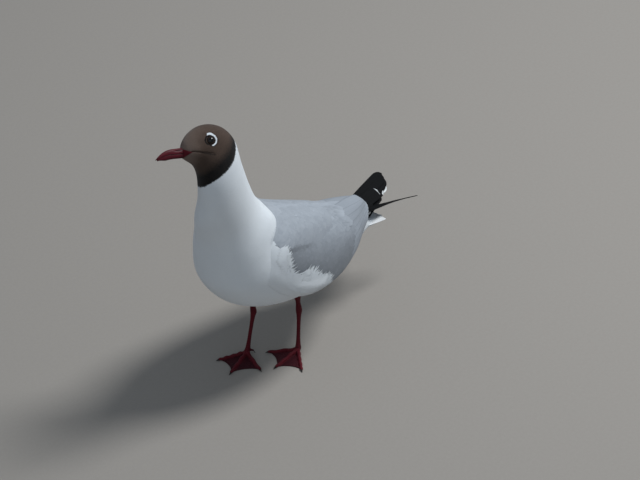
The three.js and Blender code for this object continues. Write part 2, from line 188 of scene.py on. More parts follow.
def head_point(p):
    """Point of the head's own frame, measured from between the eyes, in the pose."""
    p = np.asarray(p, float)
    return turned(p, np.ones(p.shape[:-1])) + HEAD_PLACE


def head_frame(p):
    """Posed point in the head's own frame."""
    return turned(p - HEAD_PLACE, np.ones(p.shape[:-1]), back=True)


# ---- the surfaces that everything lies on ----
def body_straight(place, angle, height):
    """Unposed body: at a station, an oval ring from angle 0 on top over the left to pi below.
    The ring's height arm is the cosine and its side arm the sine, both to the power squareness."""
    rows = row_at(STATIONS, place)
    upper_x, upper_z, lower_x, lower_z, half_width, share, square = np.moveaxis(rows, -1, 0)
    upper = np.stack([upper_x, 0 * upper_x, upper_z], -1)
    lower = np.stack([lower_x, 0 * upper_x, lower_z], -1)
    middle = lower + (upper - lower) * share[..., None]
    rise = np.sign(np.cos(angle)) * np.abs(np.cos(angle)) ** square
    side = np.sign(np.sin(angle)) * np.abs(np.sin(angle)) ** square
    arm = np.where((rise > 0)[..., None], upper, lower) - middle
    reach = 1 + height / np.linalg.norm(arm, axis=-1)
    point = middle + arm * (reach * np.abs(rise))[..., None]
    point[..., 1] += side * (half_width + height)
    return point, (upper + lower) / 2


def face_relief(place, angle):
    """Dents and swellings of the head: a hollow round each eye and before it, a brow above it,
    the crease that carries the gape back, and a full cheek below. Sums of bells in x and z."""
    p, _ = body_straight(place, angle, np.zeros_like(place))
    x, z = p[..., 0] - HEAD_REST[0], p[..., 2] - HEAD_REST[2]
    side = smooth((np.abs(p[..., 1]) - 5) / 6)
    socket = -0.55 * bell(np.hypot(x - 1.2, z - 0.8), 6.0)
    brow = 0.55 * bell(x - 3, 7) * bell(z - 8.2, 2.4)
    lore = -0.7 * bell(x - 12, 4.5) * bell(z + 1.5, 4.5)
    crease = -0.55 * bell(z - gape_height(x), 0.9) * smooth((x + 2) / 4) * smooth((22 - x) / 4)
    cheek = 0.7 * bell(x + 3, 10) * bell(z + 18, 6)
    return side * (socket + brow + lore + crease + cheek)


def gape_height(x):
    """Height of the mouth line behind the bill, falling to the rear."""
    return -8.2 - 0.22 * (18 - x)


def body_at(place, angle, height=0.0):
    """Posed body, height outward from the solids' surface. The neck's bend turns each ring by
    a share that runs from 0 at the shoulder to 1 at the head, about the ring's own middle."""
    place, angle, height = alike(place, angle, height)
    height = height + face_relief(place, angle) * (place < FACE_END)
    point, axis = body_straight(place, angle, height)
    share = smooth((NECK_BEND_FROM - place) / (NECK_BEND_FROM - NECK_BEND_TO))
    pivot = axis + (HEAD_REST - axis) * share[..., None]
    return turned(point - pivot, share) + pivot + (HEAD_PLACE - HEAD_REST) * share[..., None]


def wing_at(station, v, height=0.0):
    """Left folded wing: straight from lower edge v = 0 to upper edge v = 1, plus a bulge
    sin(pi v)^0.8 along the outward normal of that line. Past its edges it turns in over the back
    and in under the flank."""
    station, v, height = alike(station, v, height)
    row = row_at(WING_STATIONS, station)
    low, high = row[..., 0:3], row[..., 3:6]
    outward = unit(np.cross(high - low, [1.0, 0.0, 0.0]))
    inside = np.clip(v, 0, 1)
    bulge = row[..., 6] * np.sin(np.pi * inside) ** 0.8
    past = (v - inside) * np.linalg.norm(high - low, axis=-1)
    over = np.maximum(past, 0)[..., None] * [0, -0.99, 0.12]
    under = np.maximum(-past, 0)[..., None] * [0, -0.72, -0.69]
    turn = np.clip(past / WING_EDGE_ROUND, -1, 1)[..., None]
    outward = unit(outward + np.maximum(turn, 0) * [0, -0.3, 1.4] + np.maximum(-turn, 0) * [0, 0.3, -1.2])
    return low + (high - low) * inside[..., None] + over + under + outward * (bulge + height)[..., None]


class Surface:
    """A surface of two parameters a and b with a height, as it is or mirrored to the other side.
    outside is 1 where a's way crossed with b's points outwards, or -1."""

    def __init__(self, shape, outside, mirror=LEFT):
        self.shape, self.outside, self.mirror = shape, outside, mirror

    def at(self, a, b, height=0.0):
        return self.shape(a, b, height) * [1, self.mirror, 1]

    def frame(self, a, b):
        """Change of the point along a and along b, and the outward normal."""
        step = 1e-3
        along_a = (self.at(a + step, b) - self.at(a - step, b)) / (2 * step)
        along_b = (self.at(a, b + step) - self.at(a, b - step)) / (2 * step)
        normal = unit(np.cross(along_a, along_b)) * self.outside * self.mirror
        return along_a, along_b, normal


BODY = Surface(body_at, outside=-1)
WINGS = {side: Surface(wing_at, outside=1, mirror=side) for side in (LEFT, RIGHT)}

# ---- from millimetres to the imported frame: the left eye's middle is the shared point ----
eye_low, eye_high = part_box("eye_left")
EYE_PACKED = np.array(eye_low + eye_high) / 2 * MM_PER_METRE
SHIFT = EYE_PACKED - head_point([0, EYE_SIDE, 0])


def packed(points):
    """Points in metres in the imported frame."""
    return (points + SHIFT) / MM_PER_METRE


def grid_faces(rows, columns, wrap=False):
    """Quads over a grid of points, column running fastest, closed round the columns if wrap."""
    i = np.arange(rows - 1)[:, None]
    j = np.arange(columns if wrap else columns - 1)[None, :]
    k = (j + 1) % columns
    corners = [i * columns + j, (i + 1) * columns + j, (i + 1) * columns + k, i * columns + k]
    return np.stack([c + 0 * i + 0 * j for c in corners], -1).reshape(-1, 4)


NO_TRIANGLES = np.zeros((0, 3), int)


def make_piece(name, points, quads, triangles=NO_TRIANGLES, values=None, uv=None, facing=1, normals=None):
    """Mesh object from arrays of points and faces. values are numbers kept on the points, uv a
    place per point kept as OFBake, normals the way each point is shaded."""
    if facing < 0:
        quads, triangles = quads[:, ::-1], triangles[:, ::-1]
    corners = np.concatenate([quads.ravel(), triangles.ravel()]).astype(np.int32)
    starts = np.concatenate([np.arange(len(quads)) * 4, quads.size + np.arange(len(triangles)) * 3])
    mesh = bpy.data.meshes.new(name)
    mesh.vertices.add(len(points))
    mesh.vertices.foreach_set("co", packed(points).astype(np.float32).ravel())
    mesh.loops.add(len(corners))
    mesh.loops.foreach_set("vertex_index", corners)
    mesh.polygons.add(len(starts))
    mesh.polygons.foreach_set("loop_start", starts.astype(np.int32))
    mesh.update(calc_edges=True)
    mesh.polygons.foreach_set("use_smooth", np.ones(len(starts), bool))
    for key, numbers in (values or {}).items():
        layer = mesh.attributes.new(key, "FLOAT", "POINT")
        layer.data.foreach_set("value", np.broadcast_to(numbers, len(points)).astype(np.float32).ravel())
    if uv is not None:
        layer = mesh.uv_layers.new(name="OFBake")
        layer.data.foreach_set("uv", uv[corners].astype(np.float32).ravel())
    if normals is not None:
        mesh.normals_split_custom_set_from_vertices(normals.astype(np.float32))
    mesh.update()
    piece = bpy.data.objects.new(name, mesh)
    bpy.context.scene.collection.objects.link(piece)
    return piece


def tube(rings):
    """A tube through rings of points (rows, columns, 3), each end closed on a middle point.
    Returns points, quads and triangles."""
    rows, columns = rings.shape[:2]
    points = np.vstack([rings.reshape(-1, 3), rings[0].mean(0), rings[-1].mean(0)])
    quads = grid_faces(rows, columns, wrap=True)
    j = np.arange(columns)
    k = (j + 1) % columns
    first, last = rows * columns, rows * columns + 1
    front = np.stack([0 * j + first, j, k], -1)
    end = (rows - 1) * columns
    back = np.stack([0 * j + last, end + k, end + j], -1)
    return points, quads, np.vstack([front, back])


def gather(parts):
    """One list of points and faces from several (points, quads, triangles)."""
    points, quads, triangles, count = [], [], [], 0
    for part_points, part_quads, part_triangles in parts:
        points.append(part_points)
        quads.append(part_quads + count)
        triangles.append(part_triangles + count)
        count += len(part_points)
    return np.vstack(points), np.vstack(quads), np.vstack(triangles)


# ---- markings, shared by skin and coat ----
HOOD_BORDER_WIDTH = 0.12   # in stations
WHITE_MARKS = {"hood": 0.0, "tone": 0.0, "grey": 0.0, "dark": 0.0}


def grey_marks(a, dark=0.0):
    """Grey all over, darkened by a share of painted shade."""
    return {"hood": 0 * a, "tone": 0 * a, "grey": 1 + 0 * a, "dark": dark + 0 * a}


def hood_border(angle):
    """Station where the hood ends: 5.61 on top, 0.14 before that below, and 0.54 sin2 further
    back on the sides of the neck."""
    return 5.61 - 0.14 * (1 - np.cos(angle)) / 2 + 0.54 * np.sin(angle) ** 2


def hood_at(place, angle):
    """1 on the hood, 0 behind it."""
    return smooth(0.5 + (hood_border(angle) - place) / HOOD_BORDER_WIDTH)


def hood_tone_at(place, angle):
    """0 pale grey-brown at the forehead and lores, near 0.5 chocolate, 1 black at the rear edge."""
    before = hood_border(angle) - place
    low = 0.5 - 0.5 * np.cos(angle)
    black = smooth(1.1 - before / (0.55 + 1.5 * low))
    front = smooth((place - 0.3) / 3.2)
    return np.clip(0.5 * front + 0.55 * black + 0.12 * low * front, 0, 1)


def grey_at(place, angle):
    """1 on the grey mantle and back, 0 on the white neck, underparts and rump."""
    from_top = np.abs(np.angle(np.exp(1j * angle)))
    return smooth((1.45 - from_top) / 0.25) * smooth((place - 9.62) / 0.3) * smooth((14.3 - place) / 0.5)


def feather_length(place, angle=0.0):
    """Length of a contour feather, the same all round the body."""
    return table_at(FEATHER_LENGTHS, place)


def coat_depth(place):
    """Depth of the skin below the solids' surface, about a quarter of the feathers' length."""
    return np.clip(0.26 * feather_length(place), 0.5, 2.6)


def markings(place, angle):
    """What colours a place of the body."""
    return {
        "hood": hood_at(place, angle),
        "tone": hood_tone_at(place, angle),
        "grey": grey_at(place, angle),
        "dark": 0 * place,
    }


# ---- feathers ----
def draws(seed, side=LEFT):
    """Seeded random numbers. The right side's come from the next seed."""
    return np.random.default_rng(seed + (side == RIGHT))


STEP = 0.01   # in a surface's parameters, for lengths along it


def staggered(surface, a_range, b_range, size, along, across, rng):
    """Roots in staggered rows. Rows follow each other `along` feather lengths apart, and the
    roots of a row lie `across` feather lengths apart by arc length, each moved a little."""
    a_from, a_to = a_range
    b_line = np.linspace(*b_range, 240)
    roots_a, roots_b = [], []
    a, odd = a_from, 0.0
    while a < a_to:
        here = np.full_like(b_line, a)
        line = surface.at(here, b_line)
        ahead = np.linalg.norm(surface.at(here + STEP, b_line) - line, axis=-1).max() / STEP
        steps = np.linalg.norm(np.diff(line, axis=0), axis=-1)
        arc = np.concatenate([[0], np.cumsum(steps / size(here[1:], b_line[1:]))])
        count = max(1, int(arc[-1] / across))
        order = np.arange(count) + 0.25 + 0.5 * odd + rng.uniform(-0.22, 0.22, count)
        b = np.interp(order / count * arc[-1], arc, b_line)
        length = size(np.full(count, a), b)
        roots_a.append(a + rng.uniform(-0.35, 0.35, count) * along * length / ahead)
        roots_b.append(b)
        a += along * float(np.mean(length)) / ahead
        odd = 1 - odd
    return np.concatenate(roots_a), np.concatenate(roots_b)


def grid_normals(points):
    """Unit normals of grids of points (feather, row, column, 3), rows crossed with columns."""
    return unit(np.cross(np.gradient(points, axis=1), np.gradient(points, axis=2)))


def vanes(surface, a, b, length, width, *, turn, deep, top, rng, lift=0.0, curl=0.0, camber=0.06,
          rows=5, columns=3, slim=0.35, full=0.5, dive=2.2, soft=0.85):
    """Feathers rooted at (a, b). Point (s, t), s from root 0 to tip 1, t across from -1 to 1,
    lies length * s along the lie and width / 2 * outline(s) * t across it, plus curl s2 sideways,
    both laid on the surface, at height top - deep (1 - s)^dive + lift s2 - camber width / 2 t2.
    The outline opens from slim to 1 and closes past full as an ellipse. The tip is cut ragged.
    Shading follows the surface below by the share soft. Returns what coat_piece() reads."""
    count = len(a)
    length, width, turn, deep, top, lift, curl = (
        np.broadcast_to(np.asarray(v, float), count)[:, None, None]
        for v in (length, width, turn, deep, top, lift, curl))
    s = (1 - (1 - np.linspace(0, 1, rows)) ** 1.35)[None, :, None]
    t = np.linspace(-1, 1, columns)[None, None, :]
    closing = np.sqrt(1 - 0.93 * np.clip((s - full) / (1 - full), 0, 1) ** 2)
    outline = (slim + (1 - slim) * smooth(s / 0.5)) * closing
    cut = 1 - (0.05 * rng.random((count, 1, columns)) + 0.12 * t**2) * s**4
    along = length * s * cut
    across = width / 2 * outline * t + curl * length * s**2
    along_a, along_b, normal = surface.frame(a, b)
    lie = unit(along_a)
    beside = np.cross(normal, lie)
    turn = turn[:, 0]
    heading = lie * np.cos(turn) + beside * np.sin(turn)
    beside = np.cross(normal, heading)
    aa, ab, bb = (along_a * along_a).sum(-1), (along_a * along_b).sum(-1), (along_b * along_b).sum(-1)
    det = aa * bb - ab * ab

    def in_parameters(v):
        """Share of a and of b in a direction on the surface."""
        va, vb = (along_a * v).sum(-1), (along_b * v).sum(-1)
        return ((bb * va - ab * vb) / det)[:, None, None], ((aa * vb - ab * va) / det)[:, None, None]

    heading_a, heading_b = in_parameters(heading)
    beside_a, beside_b = in_parameters(beside)
    a_grid = a[:, None, None] + heading_a * along + beside_a * across
    b_grid = b[:, None, None] + heading_b * along + beside_b * across
    height = top - deep * (1 - s) ** dive + lift * s**2 - camber * width / 2 * t**2
    points = surface.at(a_grid, b_grid, height)
    below = grid_normals(surface.at(a_grid, b_grid, 0 * height))
    upright = normal[:, None, None]
    below = np.where((below * upright).sum(-1, keepdims=True) < 0.5, upright, below)
    own = grid_normals(points)
    own = np.where((own * below).sum(-1, keepdims=True) < 0.4, below, own)
    return {
        "points": points,
        "normals": unit(below * soft + own * (1 - soft)),
        "root": (a, b),
        "along": np.broadcast_to(s, along.shape),
        "across": np.broadcast_to(t, along.shape),
        "tint": np.broadcast_to(rng.random((count, 1, 1)), along.shape),
    }


BAKE_MARGIN, BAKE_SPAN, BAKE_PATCH = 0.03, 0.94, 0.003   # shares of OFBake's unit square


def coat_piece(name, groups, marks):
    """One mesh of soft feathers from several results of vanes(). marks gives, for each group,
    the numbers on its feathers. In OFBake each feather is a small patch at its root's place on
    the surface's own two parameters."""
    points, normals, quads, values, uv, start = [], [], [], {}, [], 0
    all_a = np.concatenate([g["root"][0] for g in groups])
    all_b = np.concatenate([g["root"][1] for g in groups])
    low = np.array([all_a.min(), all_b.min()])
    span = np.array([np.ptp(all_a), np.ptp(all_b)])
    for group, mark in zip(groups, marks):
        count, rows, columns, _ = group["points"].shape
        per = rows * columns
        points.append(group["points"].reshape(-1, 3))
        normals.append(group["normals"].reshape(-1, 3))
        faces = grid_faces(rows, columns)
        quads.append((faces[None] + (start + np.arange(count) * per)[:, None, None]).reshape(-1, 4))
        place = BAKE_MARGIN + BAKE_SPAN * (np.stack(group["root"], -1) - low) / span
        patch = np.stack([group["along"] - 0.5, group["across"] / 2], -1) * BAKE_PATCH
        uv.append((place[:, None, None, :] + patch).reshape(-1, 2))
        numbers = {**mark, "along": group["along"], "across": group["across"], "tint": group["tint"]}
        for key, number in numbers.items():
            number = np.asarray(number, float)
            if number.ndim == 1:
                number = number[:, None, None]
            values.setdefault(key, []).append(np.broadcast_to(number, (count, rows, columns)).ravel())
        start += count * per
    values = {key: np.concatenate(v) for key, v in values.items()}
    piece = make_piece(name, np.vstack(points), np.vstack(quads), values=values, uv=np.vstack(uv),
                       normals=np.vstack(normals))
    finish_piece(piece, plumage_soft)


def finish_piece(piece, material):
    """Material and body of a piece."""
    piece.data.materials.append(material)
    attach(piece, "root")


# ---- shader arithmetic ----
class Flow:
    """A value in a node tree. Python arithmetic on it adds Math nodes."""

    def __init__(self, paint, socket):
        self.paint, self.socket = paint, socket

    def math(self, operation, *others, clamp=False):
        node = self.paint.node("ShaderNodeMath", {"operation": operation, "use_clamp": clamp}, *others)
        return Flow(self.paint, node.outputs[0])

    def __add__(self, other):
        return self.math("ADD", self, other)

    def __sub__(self, other):
        return self.math("SUBTRACT", self, other)

    def __rsub__(self, other):
        return self.math("SUBTRACT", other, self)

    def __mul__(self, other):
        return self.math("MULTIPLY", self, other)

    def __pow__(self, other):
        return self.math("POWER", self, other)

    __radd__, __rmul__ = __add__, __mul__

    def clamp(self):
        return self.math("ADD", self, 0, clamp=True)

    def absolute(self):
        return self.math("ABSOLUTE", self)

    def sine(self):
        return self.math("SINE", self)


class Paint:
    """A material being made: its tree, its Principled shader, and ways to add nodes."""

    def __init__(self, name, **fixed):
        self.material = bpy.data.materials.new(name)
        self.material.use_nodes = True
        self.tree = self.material.node_tree
        self.shader = self.tree.nodes["Principled BSDF"]
        for key, value in fixed.items():
            self.shader.inputs[key.replace("_", " ")].default_value = value

    def node(self, kind, settings=None, *inputs, **named):
        """A node of a kind, its settings first, then values or links for its sockets."""
        node = self.tree.nodes.new(kind)
        for key, value in (settings or {}).items():
            setattr(node, key, value)
        for key, value in list(enumerate(inputs)) + [(k.replace("_", " "), v) for k, v in named.items()]:
            self.put(node.inputs[key], value)
        return node

    def put(self, socket, value):
        if isinstance(value, Flow):
            self.tree.links.new(value.socket, socket)
        elif isinstance(value, bpy.types.NodeSocket):
            self.tree.links.new(value, socket)
        else:
            socket.default_value = value

    def mark(self, name):
        """Number kept on the points under a name."""
        return Flow(self, self.node("ShaderNodeAttribute", {"attribute_name": name}).outputs["Fac"])

    def place(self):
        """Object coordinates."""
        return self.node("ShaderNodeTexCoord").outputs["Object"]

    def noise(self, scale, detail):
        """Noise between 0 and 1, with a number of grains to the metre."""
        node = self.node("ShaderNodeTexNoise", None, Vector=self.place(), Scale=scale, Detail=detail)
        return Flow(self, node.outputs["Fac"])

    def mix(self, share, first, second):
        """Colour between two colours."""
        node = self.node("ShaderNodeMix", {"data_type": "RGBA", "clamp_factor": True})
        self.put(node.inputs[0], share)
        self.put(node.inputs[6], first)
        self.put(node.inputs[7], second)
        return node.outputs[2]

    def bright(self, colour, share):
        """Colour times a number."""
        node = self.node("ShaderNodeVectorMath", {"operation": "SCALE"})
        self.put(node.inputs[0], colour)
        self.put(node.inputs["Scale"], share)
        return node.outputs[0]

    def bump(self, height, distance, strength):
        node = self.node("ShaderNodeBump", None, Strength=strength, Distance=distance, Height=height)
        self.put(self.shader.inputs["Normal"], node.outputs[0])

    def colour(self, value):
        self.put(self.shader.inputs["Base Color"], value)

    def rough(self, value):
        self.put(self.shader.inputs["Roughness"], value)


def rgb(red, green, blue):
    return (red, green, blue, 1.0)


# ---- finishes ----
WHITE = rgb(0.76, 0.795, 0.82)
WHITE_SHADE = rgb(0.67, 0.705, 0.74)
MANTLE = rgb(0.34, 0.37, 0.41)
MANTLE_PALE = rgb(0.40, 0.43, 0.47)
HOOD_PALE = rgb(0.165, 0.122, 0.100)
HOOD_BROWN = rgb(0.070, 0.045, 0.033)
HOOD_BLACK = rgb(0.004, 0.0035, 0.0035)


def barbs(along, across, number, slant):
    """Wave from -1 to 1 over a feather: number of barbs along it, slanting off its shaft."""
    return ((along * number + across.absolute() * slant) * math.tau).sine()


def hood_colour(paint, tone):
    """From pale grey-brown at tone 0 over chocolate at 0.5 to black at 1."""
    pale_to_brown = paint.mix((tone * 2).clamp(), HOOD_PALE, HOOD_BROWN)
    return paint.mix((tone * 2 - 1).clamp(), pale_to_brown, HOOD_BLACK)


def plumage(name):
    """Soft feathers: white, mantle grey or hood brown by the marks on the points, each feather a
    little lighter or darker than the next, darker down at its root, with fine slanting barbs."""
    paint = Paint(name, Roughness=0.8, Sheen_Weight=0.1, Sheen_Roughness=0.5, Specular_IOR_Level=0.18)
    along, across, tint = paint.mark("along"), paint.mark("across"), paint.mark("tint")
    barb = barbs(along, across, 26.0, 11.7)
    cloud = paint.noise(60.0, 3.0)
    white = paint.mix((cloud * 0.5 + tint * 0.35).clamp(), WHITE, WHITE_SHADE)
    mantle = paint.mix((cloud * 0.55 + tint * 0.45 - 0.1).clamp(), MANTLE, MANTLE_PALE)
    # the dark mark is painted shade: it darkens the grey of the coverts and scapulars
    mantle = paint.bright(mantle, 1 - paint.mark("dark") * 0.5)
    tone = (paint.mark("tone") + (tint - 0.5) * 0.12 + (cloud - 0.5) * 0.12).clamp()
    body = paint.mix(paint.mark("grey"), white, mantle)
    whole = paint.mix(paint.mark("hood"), body, hood_colour(paint, tone))
    depth = 0.80 + 0.20 * (along * 1.6).clamp()
    shade = depth + barb * 0.015 + (tint - 0.5) * 0.05
    paint.colour(paint.bright(whole, shade))
    paint.bump(barb * 0.5 + 0.5, 0.00006, 0.5)
    return paint.material


def bare_skin_and_down(name):
    """The skin: plumage colours where feathers cover it, dark red at the gape and on the legs,
    where rows of scutes run across the front and the toes and fine net scales cover the rest."""
    paint = Paint(name, Specular_IOR_Level=0.09)
    cloud = paint.noise(90.0, 4.0)
    fine = paint.noise(900.0, 3.0)
    cells = paint.node("ShaderNodeTexVoronoi", {"feature": "DISTANCE_TO_EDGE"}, Vector=paint.place(),
                       Scale=1150.0)
    net = (Flow(paint, cells.outputs["Distance"]) * 5).clamp()
    band = ((paint.mark("scute") * math.tau).sine() * 0.5 + 0.5) ** 0.35
    front = paint.mark("front")
    relief = band * front + net * (1 - front) * paint.mark("leg")
    white = paint.mix(cloud, WHITE, WHITE_SHADE)
    grey = paint.mix(cloud, MANTLE, MANTLE_PALE)
    body = paint.mix(paint.mark("grey"), white, grey)
    covered = paint.mix(paint.mark("hood"), body, hood_colour(paint, paint.mark("tone")))
    leg = paint.mix((cloud * 1.3 - 0.15).clamp(), rgb(0.082, 0.008, 0.013), rgb(0.135, 0.014, 0.021))
    leg = paint.mix(paint.mark("web") * 0.75, leg, rgb(0.036, 0.008, 0.012))
    leg = paint.bright(leg, 0.55 + 0.5 * relief + (fine - 0.5) * 0.2)
    gape = paint.mix(cloud, rgb(0.12, 0.010, 0.018), rgb(0.075, 0.007, 0.012))
    paint.colour(paint.mix(paint.mark("bare"), covered, paint.mix(paint.mark("leg"), gape, leg)))
    paint.rough(0.62 - 0.2 * paint.mark("bare") * relief + (fine - 0.5) * 0.1)
    paint.bump(relief * paint.mark("bare") + fine * 0.15, 0.00025, 0.7)
    return paint.material


def flight(name, base, pale, roughness, gloss):
    """Flight feathers: one colour, a darker shaft and fine barbs slanting off it, and a second,
    pale colour where the pale mark says so."""
    paint = Paint(name, Specular_IOR_Level=gloss)
    along, across, tint = paint.mark("along"), paint.mark("across"), paint.mark("tint")
    barb = barbs(along, across, 90.0, 22.0)
    grain = paint.noise(700.0, 3.0)
    shaft = (1 - across.absolute() * 16).clamp()
    colour = paint.mix(paint.mark("pale"), base, pale)
    shade = 0.95 + barb * 0.03 + (grain - 0.5) * 0.1 + (tint - 0.5) * 0.06 - shaft * 0.2
    paint.colour(paint.bright(colour, shade))
    paint.rough(roughness + (grain - 0.5) * 0.15)
    paint.bump(barb * 0.4 + shaft, 0.00008, 0.6)
    return paint.material


def horn(name, base, second, roughness):
    """Bill, claws and lids: smooth and faintly grained, its two colours in clouds, near-black
    where the dark mark says."""
    paint = Paint(name, Specular_IOR_Level=0.14)
    grain = paint.noise(420.0, 4.0)
    cloud = paint.noise(110.0, 3.0)
    colour = paint.mix((cloud * 1.2 - 0.1).clamp(), base, second)
    # on the bill the dark mark is partly painted shade, in the nostril slit and along the seam of the halves
    colour = paint.mix(paint.mark("dark"), colour, rgb(0.02, 0.004, 0.005))
    paint.colour(paint.bright(colour, 0.9 + (grain - 0.5) * 0.35))
    paint.rough(roughness + (grain - 0.5) * 0.2)
    paint.bump(grain, 0.00012, 0.4)
    return paint.material


def eye_finish():
    """Wet eye: near-black pupil in a very dark brown iris, by the angle off the eye's axis."""
    paint = Paint("eye_wet", Roughness=0.12, Specular_IOR_Level=0.2, Coat_Weight=0.35, Coat_Roughness=0.02)
    polar = paint.mark("polar")
    streak = paint.noise(1400.0, 2.0)
    iris = paint.mix(streak, rgb(0.012, 0.006, 0.004), rgb(0.024, 0.011, 0.006))
    rim = ((polar - 0.92) * 8).clamp()
    pupil = (1 - (polar - 0.5) * 12).clamp()
    inner = paint.mix(pupil, iris, rgb(0.002, 0.002, 0.002))
    paint.colour(paint.mix(rim, inner, rgb(0.004, 0.003, 0.003)))
    return paint.material


def floor_finish():
    """Plain pale matt floor with a trace of grain."""
    paint = Paint("floor_pale", Roughness=0.95, Specular_IOR_Level=0.1)
    grain = paint.noise(300.0, 2.0)
    paint.colour(paint.mix(grain, rgb(0.30, 0.275, 0.25), rgb(0.325, 0.30, 0.272)))
    return paint.material


plumage_soft = plumage("plumage_soft")
skin_finish = bare_skin_and_down("skin")
grey_flight = flight("grey_flight", rgb(0.31, 0.335, 0.37), rgb(0.60, 0.63, 0.66), 0.7, 0.2)
black_flight = flight("black_flight", rgb(0.0055, 0.0055, 0.006), rgb(0.80, 0.82, 0.82), 0.7, 0.08)
white_flight = flight("white_flight", rgb(0.86, 0.87, 0.88), rgb(0.92, 0.92, 0.92), 0.65, 0.2)
bill_horn = horn("bill_horn", rgb(0.12, 0.010, 0.018), rgb(0.065, 0.007, 0.012), 0.45)
claw_horn = horn("claw_horn", rgb(0.022, 0.014, 0.013), rgb(0.012, 0.009, 0.009), 0.35)
lid_skin = horn("lid_skin", rgb(0.014, 0.006, 0.005), rgb(0.008, 0.004, 0.004), 0.6)


# ---- eyes and lids ----
def eye_frame(side):
    """Centre of the eyeball and three directions: the way it looks, forward and up across it."""
    centre = np.array([0, side * EYE_SIDE, 0])
    axis = unit(np.array(EYE_FACING) * [1, side, 1])
    up = unit(UP - axis * axis[2])
    forward = np.cross(up, axis) * side
    forward = forward if forward[0] > 0 else -forward
    return centre, axis, forward, up


def eye_distance(point, side):
    """Distance of a head-frame point from the eye's axis, and its angle from forward over up."""
    centre, _, forward, up = eye_frame(side)
    off = point - centre
    x, z = off @ forward, off @ up
    return np.hypot(x, z), np.arctan2(z, x)


def eyeball(side):
    """A ball whose front bulges a little as the cornea: radius R (1 + 0.05 bell(polar / 0.6))."""
    centre, axis, forward, up = eye_frame(side)
    polar = np.linspace(0, np.pi, 33)[1:-1, None]
    turn = circle(48)[None, :]
    radius = EYE_RADIUS * (1 + CORNEA_RISE * bell(polar, 0.6))
    ring = (np.cos(turn)[..., None] * forward + np.sin(turn)[..., None] * up) * np.sin(polar)[..., None]
    rings = centre + radius[..., None] * (ring + np.cos(polar)[..., None] * axis)
    points, quads, triangles = tube(rings)
    points[-2] = centre + axis * EYE_RADIUS * (1 + CORNEA_RISE)
    points[-1] = centre - axis * EYE_RADIUS
    values = {"polar": np.concatenate([np.broadcast_to(polar, rings.shape[:2]).ravel(), [0, np.pi]])}
    name = "eyeball_" + SIDE_NAME[side]
    piece = make_piece(name, head_point(points), quads, triangles, values, facing=side)
    finish_piece(piece, eye_finish())
    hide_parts("eye_" + SIDE_NAME[side])


def lids(side):
    """Rim of bare lid round the opening: a ring of radius EYE_OPENING lying on the ball, its
    section a small oval, thicker above and below, drawn to a blunt corner before and behind."""
    centre, axis, forward, up = eye_frame(side)
    around, across = 72, 12
    turn, roll = circle(around)[:, None], circle(across)[None, :]
    radius = EYE_OPENING + 0.25 + 0.22 * np.abs(np.cos(turn)) ** 6
    thick = 0.42 + 0.08 * np.abs(np.sin(turn))
    reach = radius + thick * np.cos(roll)
    out = math.sqrt(EYE_RADIUS**2 - EYE_OPENING**2) + thick * 0.9 * np.sin(roll)
    ring = np.cos(turn)[..., None] * forward + np.sin(turn)[..., None] * up
    rings = centre + reach[..., None] * ring + out[..., None] * axis
    quads = grid_faces(around + 1, across, wrap=True) % (around * across)
    piece = make_piece("lids_" + SIDE_NAME[side], head_point(rings.reshape(-1, 3)), quads,
                       values={"dark": 0.0}, facing=-side)
    finish_piece(piece, lid_skin)


# ---- bill ----
def cutting_edge(s):
    """Height of the line where the halves meet: almost level, then bent down from the middle."""
    return -8.9 + 0.6 * s - 3.9 * np.clip((s - 0.5) / 0.5, 0, 1) ** 1.7


def bill_half(name, length, top, bottom, half_width, upper):
    """Half of the bill: arched rings, flat where the halves meet, between its top and bottom
    profile along s, 0 at the base and 1 at the tip, running back into the face and narrowed
    there. The upper half has a long nostril slit in a shallow groove, and both have a raised
    cutting rim."""
    inside_face = np.linspace(-0.28, 0.0, 8)[:-1]
    s = np.concatenate([inside_face, 1 - (1 - np.linspace(0, 1, 44)) ** 1.25])[:, None]
    turn = circle(44)[None, :]
    inside = np.clip(s, 0, 1)
    high, low = top(inside), bottom(inside)
    away = np.cos(turn) if upper else -np.cos(turn)
    arch = np.clip((away + 0.35) / 1.35, 0, 1) ** 0.9
    share = arch if upper else 1 - arch
    side = half_width(inside) * np.sign(np.sin(turn)) * np.abs(np.sin(turn)) ** 0.8
    z = low + (high - low) * share
    groove = bell(s - 0.17, 0.15) * bell(share - 0.62, 0.16) if upper else 0 * side
    slit = bell(s - 0.15, 0.11) * bell(share - 0.6, 0.075) if upper else 0 * side
    rim = bell(share - (0.06 if upper else 0.94), 0.06) * smooth((0.97 - s) / 0.2)
    narrowing = smooth((0.12 - s) / 0.17)
    side = side * (1 - 0.16 * groove - 0.2 * slit + 0.05 * rim - 0.16 * narrowing)
    x = BILL_START + length * s + 0 * side
    rings = np.stack([x, side, z], -1)
    points, quads, triangles = tube(rings)
    # dark mark: painted shade in the nostril slit and along the seam where the halves meet, and darker
    # towards the tip and towards the base
    seam = bell(share - (0.0 if upper else 1.0), 0.09)
    nostril = np.clip(slit * 1.25, 0, 1) * (np.abs(np.sin(turn)) > 0.3)
    dark = nostril + 0.35 * smooth((s - 0.8) / 0.2) + 0.7 * seam + 0.4 * smooth((0.2 - s) / 0.2)
    dark = np.concatenate([np.clip(dark, 0, 1).ravel(), [0, 0.3]])
    piece = make_piece(name, head_point(points), quads, triangles, {"dark": dark})
    finish_piece(piece, bill_horn)
    return piece


def ridge(s):
    """Top of the bill: nearly level, then curved down over its front two thirds."""
    return -3.2 - 0.6 * s - 7.8 * np.clip((s - 0.35) / 0.65, 0, 1) ** 2.1


def lower_cutting_edge(s):
    """The cutting edge at the same x, a little lower."""
    return cutting_edge(s * BILL_LOWER_LENGTH / BILL_LENGTH) - 0.06


def keel(s):
    """Underside of the bill: almost level, with a small bulge two thirds of the way out."""
    return -12.9 + 0.6 * s - 0.8 * bell(s - 0.68, 0.17) - 0.7 * s**8


